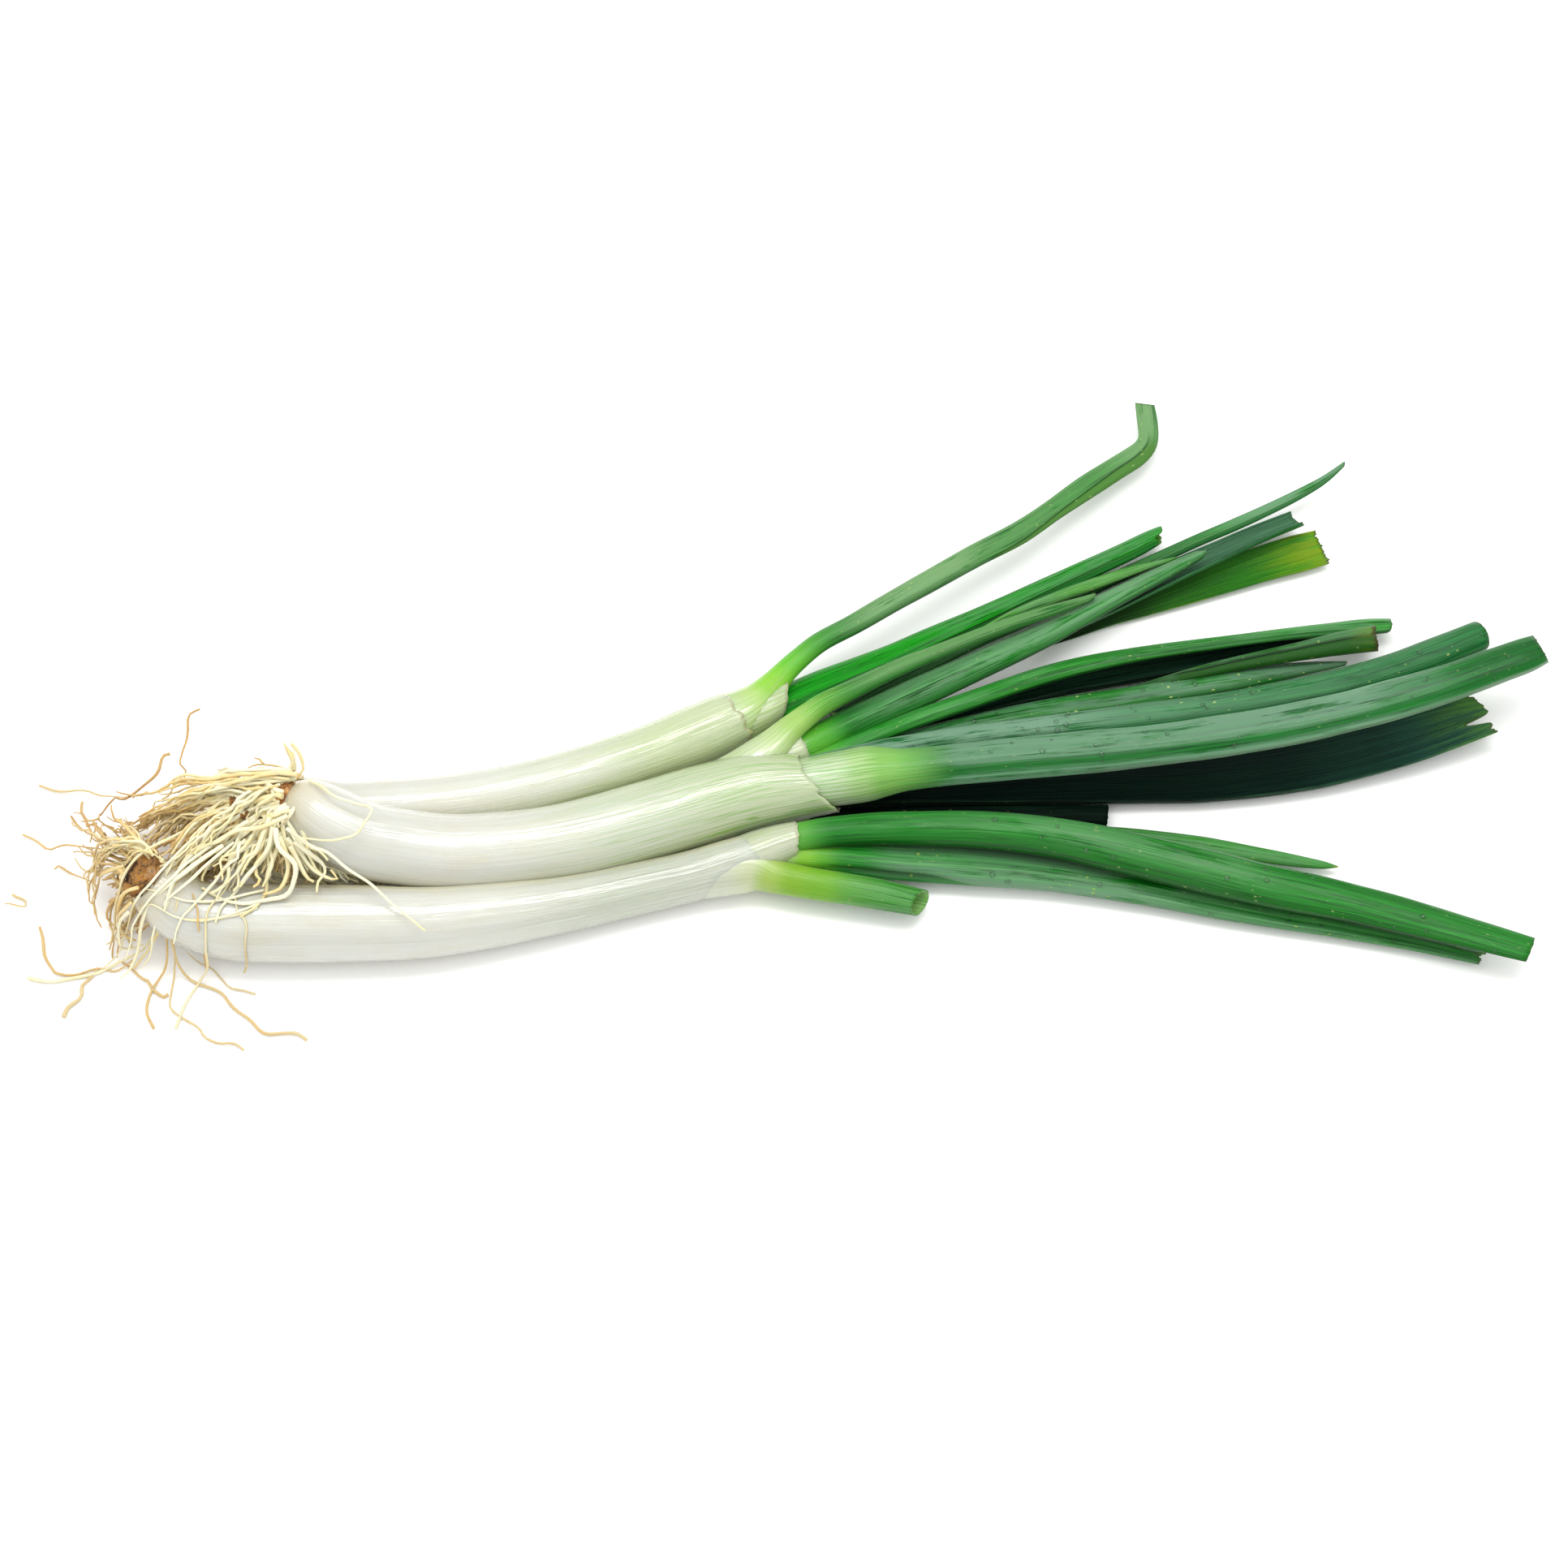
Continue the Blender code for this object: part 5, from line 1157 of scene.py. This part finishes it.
frontRoots = guideLines(tuftColumns, [
    (7, 1.6, 3.2, 0.5, 0.52, 1.8,
        [(-177, -56, 22), (-182, -50, 19), (-188, -44, 14), (-193, -37, 9), (-196, -31, 6)]),
    (7, 1.6, 3.4, 0.5, 0.5, 2, [(-176, -55, 23), (-178, -49, 22), (-183, -43, 17), (-187, -36, 11)]),
    (8, 1.4, 2.4, 0.46, 0.48, 1.4,
        [(-172, -57, 27), (-176, -53, 27), (-182, -51, 23), (-187, -50, 16), (-190, -53, 11), (-191, -58, 7),
            (-189, -63, 4), (-186, -67, 1.5)]),
    (4, 2, 3, 0.42, 0.6, 2, [(-178, -57, 20), (-185, -52, 15), (-193, -47, 8), (-201, -42, 3)]),
    (26, 4.2, 4.8, 0.68, 0.5, 0.9, [(-177, -59, 19), (-182, -57, 15), (-186, -56, 10)]),
    (16, 3, 3.6, 0.66, 0.5, 0.9, [(-176, -61, 16), (-181, -60, 11), (-185, -60, 6)]),
    (7, 1.6, 2.4, 0.46, 0.52, 1.6,
        [(-178, -61, 13), (-183, -61, 9), (-185, -64, 5), (-183, -70, 2), (-182, -74, 1)]),
    (7, 1.8, 2.4, 0.44, 0.52, 1.6, [(-176, -61, 11), (-180, -62, 6), (-182, -66, 3), (-185, -71, 1)]),
    (12, 2.4, 3, 0.46, 0.85, 1.4, [(-173, -63, 14), (-175, -64, 8), (-177, -66, 3)]),
    (4, 0.9, 1.6, 0.46, 0.42, 1.4, [(-169, -59, 26), (-172, -56, 28), (-176, -55, 27), (-180, -55, 22)]),
    (1, 0, 0, 0.62, 0.1, 0.2,
        [(-179, -61, 16), (-182, -62, 13), (-183, -64, 10), (-184, -67, 6), (-183, -69, 4), (-184, -71, 2),
            (-180, -72, 1)]),
    (3, 1.6, 1.2, 0.5, 0.3, 0.6,
        [(-159, -49, 25), (-164, -54, 25), (-168, -61, 26), (-171, -64, 21), (-176, -64, 11)]),
    (4, 2, 2, 0.5, 0.34, 0.8,
        [(-150, -43, 27), (-158, -46, 27), (-164, -52, 26.5), (-168, -58, 26.5), (-172, -61, 27)]),
])
strayRoots = guideLines(strandColumns, [  # the strands that show on their own: thickness, tan, line
    (0.42, 0.7,
        [(-167, 4, 3), (-170, 2, 3), (-170, -3, 3), (-170, -6, 3), (-171, -12, 3.5), (-171, -15, 4),
            (-169, -18, 5), (-169, -22, 7)]),
    (0.5, 0.72,
        [(-174, -12, 5), (-176, -13, 5), (-177, -18, 5), (-180, -22, 5), (-183, -25, 5), (-186, -27, 5),
            (-188, -26, 5), (-190, -30, 6), (-192, -33, 6)]),
    (0.45, 0.7, [(-179, -25, 6), (-181, -26, 6), (-184, -26, 6), (-188, -25, 6)]),
    (0.36, 0.5,
        [(-211, -20, 1), (-205, -22, 1), (-198, -22, 1.5), (-193, -24, 2), (-188, -25, 3), (-184, -25, 4)]),
    (0.45, 0.7, [(-198, -26, 2), (-198, -29, 2), (-196, -33, 3), (-194, -37, 4), (-194, -41, 5)]),
    (0.42, 0.72, [(-201, -30, 1), (-199, -33, 1), (-196, -36, 2), (-194, -37, 3)]),
    (0.5, 0.55,
        [(-214, -36, 1), (-210, -38, 1), (-206, -41, 1.5), (-202, -40, 2), (-197, -41, 3), (-191, -43, 5),
            (-186, -45, 8)]),
    (0.42, 0.62,
        [(-204, -47, 1), (-203, -46, 1), (-200, -48, 1), (-197, -50, 2), (-192, -53, 4), (-190, -55, 6)]),
    (0.36, 0.45,
        [(-215, -55, 0.8), (-213, -56, 0.8), (-211, -57, 0.8), (-211, -59, 0.8), (-215, -58, 0.8),
            (-217, -58, 0.8)]),
    (0.48, 0.7,
        [(-206, -66, 2.5), (-205, -69, 1.5), (-204, -74, 0.8), (-201, -79, 0.8), (-199, -80, 0.8),
            (-194, -80, 0.8), (-189, -78, 0.8), (-184, -79, 0.8), (-180, -77, 1.5), (-178, -75, 2)]),
    (0.55, 0.02,
        [(-208, -81, 0.8), (-202, -82, 0.8), (-195, -81, 0.8), (-190, -80, 0.9), (-186, -78, 1),
            (-180, -75, 2), (-176, -73, 3), (-174, -70, 5)]),
    (0.6, 0.3,
        [(-197, -93, 0.8), (-196, -90, 0.8), (-193, -87, 0.8), (-193, -83, 0.8), (-191, -81, 0.8),
            (-189, -78, 1)]),
    (0.45, 0.65,
        [(-169, -86, 0.8), (-170, -87, 0.8), (-173, -85, 0.8), (-175, -82, 0.8), (-177, -81, 0.8),
            (-180, -78, 0.8), (-183, -76, 1)]),
    (0.46, 0.45,
        [(-147, -103, 0.8), (-150, -101, 0.8), (-154, -101, 0.8), (-158, -99, 0.8), (-160, -96, 0.8),
            (-165, -93, 0.8), (-168, -90, 0.8), (-168, -85, 0.8), (-167.5, -80, 2), (-167, -77, 8),
            (-166.5, -74.5, 16), (-165, -71), (-164, -67), (-162, -63)]),
    (0.62, 0.12,
        [(-166, -96.5, 0.8), (-164, -89, 0.8), (-161, -83, 1), (-158, -80.6, 6), (-157.5, -78), (-157, -74),
            (-156, -70), (-153, -66), (-151, -61, 21)]),
    (0.58, 0.2,
        [(-130, -100, 0.8), (-133, -98, 0.8), (-137, -98, 0.8), (-142, -98, 0.8), (-146, -94, 0.8),
            (-151, -90, 0.8), (-154, -86, 0.8), (-158, -84, 0.9), (-163, -82, 1), (-166, -79.5, 4),
            (-167, -76.5, 10), (-167.5, -73.5, 18), (-167, -70), (-166, -66), (-163, -61, 24)]),
    (0.46, 0.4,
        [(-172, -96.5, 0.8), (-174.5, -91, 0.8), (-173.5, -85, 0.8), (-170, -79, 3), (-169, -75, 10),
            (-168, -71.5, 21), (-167, -67)]),
], loose=0.22)
drapedRoots = guideLines(strandColumns, [  # strands draped over the front shank
    (0.78, 0,
        [(-153, -54, 27), (-160, -60, 27.5), (-166, -65, 26.5), (-172, -69.5, 23), (-176, -74, 13),
            (-178.5, -78, 4), (-183, -82, 1)]),
    (0.72, -0.05,
        [(-150, -53, 27), (-157, -60, 27), (-163, -66, 26), (-168, -70, 23.5), (-172, -74, 14),
            (-174, -77, 6), (-177, -79, 2)]),
    (0.66, 0.02,
        [(-156, -54, 27), (-163, -61, 28), (-170, -68, 26), (-176, -72, 19), (-179, -75, 10),
            (-181, -77, 4)]),
    (0.72, 0,
        [(-147, -52, 27), (-152, -60, 25.5), (-157, -66, 23), (-161, -70), (-164, -74), (-166, -77, 14)]),
    (0.5, 0.05,
        [(-143, -69), (-148, -71), (-154, -73), (-160, -73.5), (-166, -72.5), (-172, -70), (-176, -70, 20)]),
    (0.56, -0.05, [(-141, -64), (-147, -66), (-153, -68), (-160, -69), (-167, -68), (-173, -67, 26)]),
    (0.6, 0.15,
        [(-160, -50, 26), (-165, -57, 28), (-171, -65, 28), (-177, -70, 22), (-180, -73, 12), (-183, -76, 5),
            (-188, -79, 1)]),
    (0.5, 0.4,
        [(-162, -46, 24), (-168, -52, 27), (-173, -56, 29), (-178, -60, 26), (-182, -65, 18), (-184, -70, 9),
            (-186, -74, 3)]),
    (0.7, 0.02, [(-139, -51, 28), (-141, -57, 27), (-146, -62, 25), (-150, -66), (-153, -70), (-154, -74)]),
    (0.66, 0.05,
        [(-137, -52, 28), (-139, -58, 26), (-141, -62, 23.5), (-141, -66), (-144, -70), (-148, -72.5)]),
], loose=0.3)
nearRoots = guideLines(strandColumns, [  # single strands on and round the tufts
    (0.38, 0.5,
        [(-145, -86, 0.8), (-148, -85, 0.8), (-152, -84, 0.8), (-155, -81, 0.8), (-158, -78, 1),
            (-161, -77, 2), (-164, -75, 5)]),
    (0.42, 0.4,
        [(-148, -81, 4), (-147, -80.4, 8), (-146.5, -78.5), (-146, -74.5), (-148.5, -71), (-149.5, -67),
            (-150.5, -63)]),
    (0.42, 0.7, [(-159, -78), (-159, -75), (-159, -71), (-161, -66)]),
    (0.48, 0.25,
        [(-130, -37, 33), (-126, -40, 35), (-122, -44, 36.5), (-116, -46, 36), (-112, -47, 35.5),
            (-113, -50, 35), (-116, -54, 33.5), (-120, -55, 33), (-124, -56, 33.5), (-132, -55, 34),
            (-135, -50, 33)]),
    (0.62, 0,
        [(-135, -52, 33), (-128, -57, 32), (-124, -58, 30.5), (-118, -62, 28), (-112, -65, 25),
            (-105, -71, 22.5), (-97, -77, 20)]),
    (0.45, 0.25,
        [(-143, -70, 21), (-149, -72, 20.5), (-156, -73, 20), (-163, -73, 20), (-169, -71, 19),
            (-173, -72, 16), (-178, -72, 12), (-187, -72, 3)]),
    (0.78, -0.05,
        [(-135, -48, 33), (-142, -51, 32), (-149, -51, 30), (-154, -53, 28), (-161, -56, 27),
            (-164, -61, 27), (-166, -66, 26), (-168, -71, 22), (-171, -73, 14), (-174, -74, 6),
            (-179, -78, 1)]),
    (0.74, -0.02,
        [(-146, -48, 30), (-153, -52, 28), (-157, -54, 27), (-162, -58, 27), (-165, -64, 27),
            (-167, -69, 25), (-168, -72, 22)]),
    (0.75, 0,
        [(-138, -52, 33), (-137, -57, 31), (-133, -60, 28), (-133, -63, 25), (-135, -67, 23),
            (-140, -68, 22), (-146, -69, 21.5), (-152, -68, 21.5), (-159, -64, 22)]),
    (0.8, 0.05, [(-137, -54, 32), (-135, -58, 28), (-135, -61, 25), (-137, -65, 23), (-142, -67, 22.5)]),
    (0.75, 0.05, [(-139, -51, 32), (-140, -56, 30), (-143, -59, 27), (-145, -61, 25), (-148, -65, 23.5)]),
    (0.8, 0.1, [(-140, -48, 32), (-142, -53, 30), (-144, -57, 28), (-147, -57, 26), (-149, -61, 24.5)]),
    (0.75, 0.08,
        [(-135, -54, 31), (-132, -56, 27), (-129, -59, 24), (-126, -61, 23), (-122, -62, 22.5),
            (-124, -59, 23)]),
    (0.75, 0,
        [(-133, -55, 31), (-129, -57, 28), (-126, -58, 25), (-125, -60, 23.5), (-127, -63, 22.5),
            (-127, -66, 22)]),
    (0.78, 0.1, [(-134, -56, 30), (-132, -59, 26), (-130, -62, 23.5), (-128, -63, 22.6)]),
    (0.6, 0.1,
        [(-178, -72, 22), (-181, -72, 17), (-182, -73, 12), (-182, -75, 7), (-179, -74, 5), (-176, -73, 5)]),
    (0.55, 0.4, [(-175, -67, 27), (-179, -67, 24), (-181, -69, 20), (-182, -71, 15), (-181, -72, 12)]),
    (0.55, 0.35, [(-177, -70, 24), (-179, -71, 22), (-181, -71, 18), (-181, -73, 12), (-177, -74, 10)]),
    (0.5, 0.3, [(-139, -25, 14), (-147, -24, 14), (-153, -23, 14), (-159, -22, 13)]),
    (0.5, 0.3,
        [(-139, -26, 14), (-149, -26, 15), (-160, -27, 15), (-166, -28, 14), (-171, -29, 12),
            (-175, -27, 8)]),
    (0.42, 0.25, [(-138, -23, 13), (-141, -21, 13), (-147, -20, 13), (-150, -21, 13), (-151, -23, 14)]),
    (0.5, 0.25, [(-146, -20, 13), (-148, -18, 13), (-149, -18, 13)]),
    (0.6, 0.2, [(-135, -27, 36), (-133, -29, 34), (-132, -32, 31), (-134, -34, 29)]),
    (0.5, 0.7, [(-192, -33, 5), (-195, -34, 5), (-197, -31, 4), (-200, -30, 3)]),
], loose=0.22)
singleRoots = strayRoots + drapedRoots + nearRoots

rootTree, rootMaterial = growRoots(), rootSkin()
loneStrands = ["front_root_left", "front_root_hook", "front_root_pale", "front_root_short",
               "front_root_bent", "front_root_looped", "front_root_club", "front_root_wavy",
               "front_root_thin", "rear_root_upright", "rear_root_crooked", "rear_root_faint"]
for name, guides, seed, shortest, replaced in (
        ("rearRootTuft", rearRoots, 4, 0.65, ["rear_root_tuft"]),
        ("middleRootTuft", middleRoots, 9, 0.62, ["middle_root_tuft"]),
        ("frontRootTuft", frontRoots, 15, 0.62, ["front_root_tuft"]),
        ("singleRootStrands", singleRoots, 21, 0.98, loneStrands)):
    grown = runTree(name, guideMesh(name, guides), rootTree,
                    {"Seed": seed, "Shortest": shortest, "Wander": 0.0036, "Curl size": 135.0,
                     "Skin": rootMaterial})
    placePiece(name, grown, {"material": rootMaterial, "slot": "root", "replaces": replaced})
print("roots grown")


def soilSkin(name, tones):
    # the corky plate that the roots leave: dark soil, rust and ochre patches, grains
    material, shader = startMaterial(name)
    spot = out(wire(shader.id_data, "ShaderNodeTexCoord"), "Object")
    wide, grit = cloud(spot, 210.0, 4.0, 0.62), cloud(spot, 1500.0, 3.0, 0.62)
    dress(shader, Base_Color=ramp((grit - 0.5) * 0.35 + wide, tones), Roughness=0.82, Specular_IOR_Level=0.2,
          Normal=bumps(grit + wide, 0.9, 0.0005))
    return material


def rootPlate(name, piece):
    # a lumpy, slightly domed disc where the shank ends
    ball = bmesh.new()
    bmesh.ops.create_icosphere(ball, subdivisions=5, radius=1.0)
    axis = Vector(piece["axis"]).normalized()
    turn = axis.to_track_quat("Z", "Y")
    radius, depth = piece["radius"], piece["depth"]
    middle = Vector((np.array(piece["at"], float) + bunchShift).tolist())
    for corner in ball.verts:
        spot = corner.co.copy()
        lump = noise.fractal(spot * 2.1 + Vector((piece["seed"], 0, 0)), 0.8, 2.2, 4)
        grit = noise.noise(spot * 9.0 + Vector((0, piece["seed"], 0)))
        size = 1 + piece["lumps"] * lump + 0.05 * grit
        flat = Vector((spot.x * radius * size, spot.y * radius * size,
                       spot.z * depth * size + piece["lumps"] * 2.2 * lump))
        place = middle + turn @ flat
        place.z = max(place.z, 0.2)
        corner.co = place * mm
    mesh = bpy.data.meshes.new(name)
    ball.to_mesh(mesh)
    ball.free()
    mesh.shade_smooth()
    return placePiece(name, mesh, piece)


soilTones = [(0.3, (0.025, 0.013, 0.006)), (0.42, (0.085, 0.042, 0.016)), (0.5, (0.22, 0.115, 0.045)),
             (0.58, (0.4, 0.18, 0.035)), (0.66, (0.34, 0.22, 0.12)), (0.8, (0.55, 0.42, 0.26))]
rimTones = [(0.3, (0.09, 0.035, 0.012)), (0.45, (0.26, 0.1, 0.03)), (0.58, (0.5, 0.26, 0.09)),
            (0.72, (0.62, 0.48, 0.24))]
plates = {
    "frontRootPlate": {
        "at": (-174.6, -60.3, 23), "axis": (-0.62, 0.05, 0.78), "radius": 6.9, "depth": 3.0, "lumps": 0.2,
        "seed": 3, "tones": soilTones, "replaces": ["front_root_plate"],
    },
    "middleRootPlate": {
        "at": (-138.6, -38.2, 26), "axis": (-0.93, 0.1, -0.2), "radius": 5.2, "depth": 5.4, "lumps": 0.22,
        "seed": 8, "tones": rimTones, "replaces": ["middle_root_plate"],
    },
    # a dark soil clump inside the middle tuft; it also stands in for the shade deep among the roots
    "middleSoilClump": {
        "at": (-147, -42, 24.6), "axis": (0.2, 0.3, 1.0), "radius": 5.4, "depth": 3.6, "lumps": 0.34,
        "seed": 21, "tones": soilTones,
    },
    "middleSoilCrumb": {
        "at": (-156, -43, 16), "axis": (-0.3, 0.2, 1.0), "radius": 4.6, "depth": 2.8, "lumps": 0.34,
        "seed": 25, "tones": soilTones,
    },
    "rearRootPlate": {
        "at": (-138, -29.8, 8.8), "axis": (-0.98, 0.18, 0), "radius": 6.0, "depth": 2.2, "lumps": 0.14,
        "seed": 12, "tones": rimTones, "replaces": ["rear_root_plate"],
    },
}
for name, piece in plates.items():
    rootPlate(name, {**piece, "slot": "plate", "material": soilSkin(name + " soil", piece["tones"])})
print("root plates made")


def scatterBeads():
    # round water beads, half sunk in the upper side of a leaf
    tree, given, result = nodeTree("scatterBeads",
                                   [("Density", "Float", 3000.0), ("Smallest", "Float", 0.0004),
                                    ("Largest", "Float", 0.0009), ("Flatness", "Float", 0.45),
                                    ("Seed", "Int", 1), ("Water", "Material", None)])
    upward = split(step(tree, "GeometryNodeInputNormal"))[2]
    inside = split(named(tree, "strip", "FLOAT_VECTOR"))[2]
    share = split(named(tree, "place", "FLOAT_VECTOR"))[2]
    wanted = (upward > 0.6) * (inside < 0.5) * (share > 0.3)
    spots = wire(tree, "GeometryNodeDistributePointsOnFaces", Mesh=given["Geometry"],
                 Density=wanted * given["Density"], Seed=given["Seed"])
    ball = step(tree, "GeometryNodeMeshIcoSphere", Radius=1.0, Subdivisions=3)
    ball = step(tree, "GeometryNodeTransform", Geometry=ball, Scale=joined(1.0, 1.0, given["Flatness"]))
    size = step(tree, "FunctionNodeRandomValue", {"data_type": "FLOAT"}, Min=given["Smallest"],
                Max=given["Largest"], Seed=given["Seed"] + 5)
    beads = step(tree, "GeometryNodeInstanceOnPoints", Points=out(spots, "Points"), Instance=ball,
                 Rotation=out(spots, "Rotation"), Scale=size)
    real = step(tree, "GeometryNodeRealizeInstances", Geometry=beads)
    smooth = step(tree, "GeometryNodeSetShadeSmooth", Geometry=real)
    feed(result["Geometry"], step(tree, "GeometryNodeSetMaterial", Geometry=smooth, Material=given["Water"]))
    return tree


water, waterShader = startMaterial("water bead")
dress(waterShader, Base_Color=(0.93, 1.0, 0.94), Roughness=0.03, IOR=1.33, Transmission_Weight=1.0)
beadTree = scatterBeads()
wetLeaves = {"middleMainLeaf": 3, "middleHighLeaf": 7, "middleSideLeaf": 4, "frontBroadLeaf": 11,
             "frontSlimLeaf": 5}
for name, seed in wetLeaves.items():
    beads = runTree(name + "Beads", bpy.data.objects[name].data, beadTree,
                    {"Density": 11000.0, "Seed": seed, "Water": water})
    placePiece(name + "Beads", beads, {"material": water, "slot": "leaf"})
print("water beads made")

floorMesh = bpy.data.meshes.new("studioFloor")
floorMesh.from_pydata([(-4, -4, 0), (4, -4, 0), (4, 4, 0), (-4, 4, 0)], [], [(0, 1, 2, 3)])
studioFloor = bpy.data.objects.new("studioFloor", floorMesh)
bpy.context.scene.collection.objects.link(studioFloor)
floorPaint, floorShader = startMaterial("white sweep")
dress(floorShader, Base_Color=(0.95, 0.95, 0.945), Roughness=0.6, Specular_IOR_Level=0.1)
floorMesh.materials.append(floorPaint)

world = bpy.data.worlds.new("studio")
world.use_nodes = True
sky = world.node_tree
height = split(out(wire(sky, "ShaderNodeTexCoord"), "Generated"))[2]
brighter = maths("MAXIMUM", height, 0.0) * 1.15 + 0.5  # dimmer near the horizon
dress(sky.nodes["Background"], Color=(1.0, 1.0, 0.99), Strength=brighter)
bpy.context.scene.world = world

lampAt, lampAim = Vector((0.0, 0.16, 1.15)), Vector((0.0, 0.0, 0.0))
light = bpy.data.lights.new("overheadBox", "AREA")
light.shape = "RECTANGLE"
light.size, light.size_y = 1.2, 0.3
light.energy = 6.0
lamp = bpy.data.objects.new("overheadBox", light)
lamp.location = lampAt
lamp.rotation_euler = (lampAim - lampAt).to_track_quat("-Z", "Y").to_euler()
bpy.context.scene.collection.objects.link(lamp)

view = {"aim": Vector((-0.0008, -0.0213, 0.0)), "elevation": 60.0, "distance": 1.05, "lens": 85.0}
camera = bpy.data.objects.new("camera", bpy.data.cameras.new("camera"))
camera.data.lens = view["lens"]
camera.data.sensor_width = 36.0
rise = math.radians(view["elevation"])
back = Vector((0.0, -math.cos(rise), math.sin(rise)))
camera.location = view["aim"] + back * view["distance"]
camera.rotation_euler = (-back).to_track_quat("-Z", "Y").to_euler()
bpy.context.scene.collection.objects.link(camera)
bpy.context.scene.camera = camera
bpy.context.scene.view_settings.view_transform = "Standard"
print("floor, light and camera set")
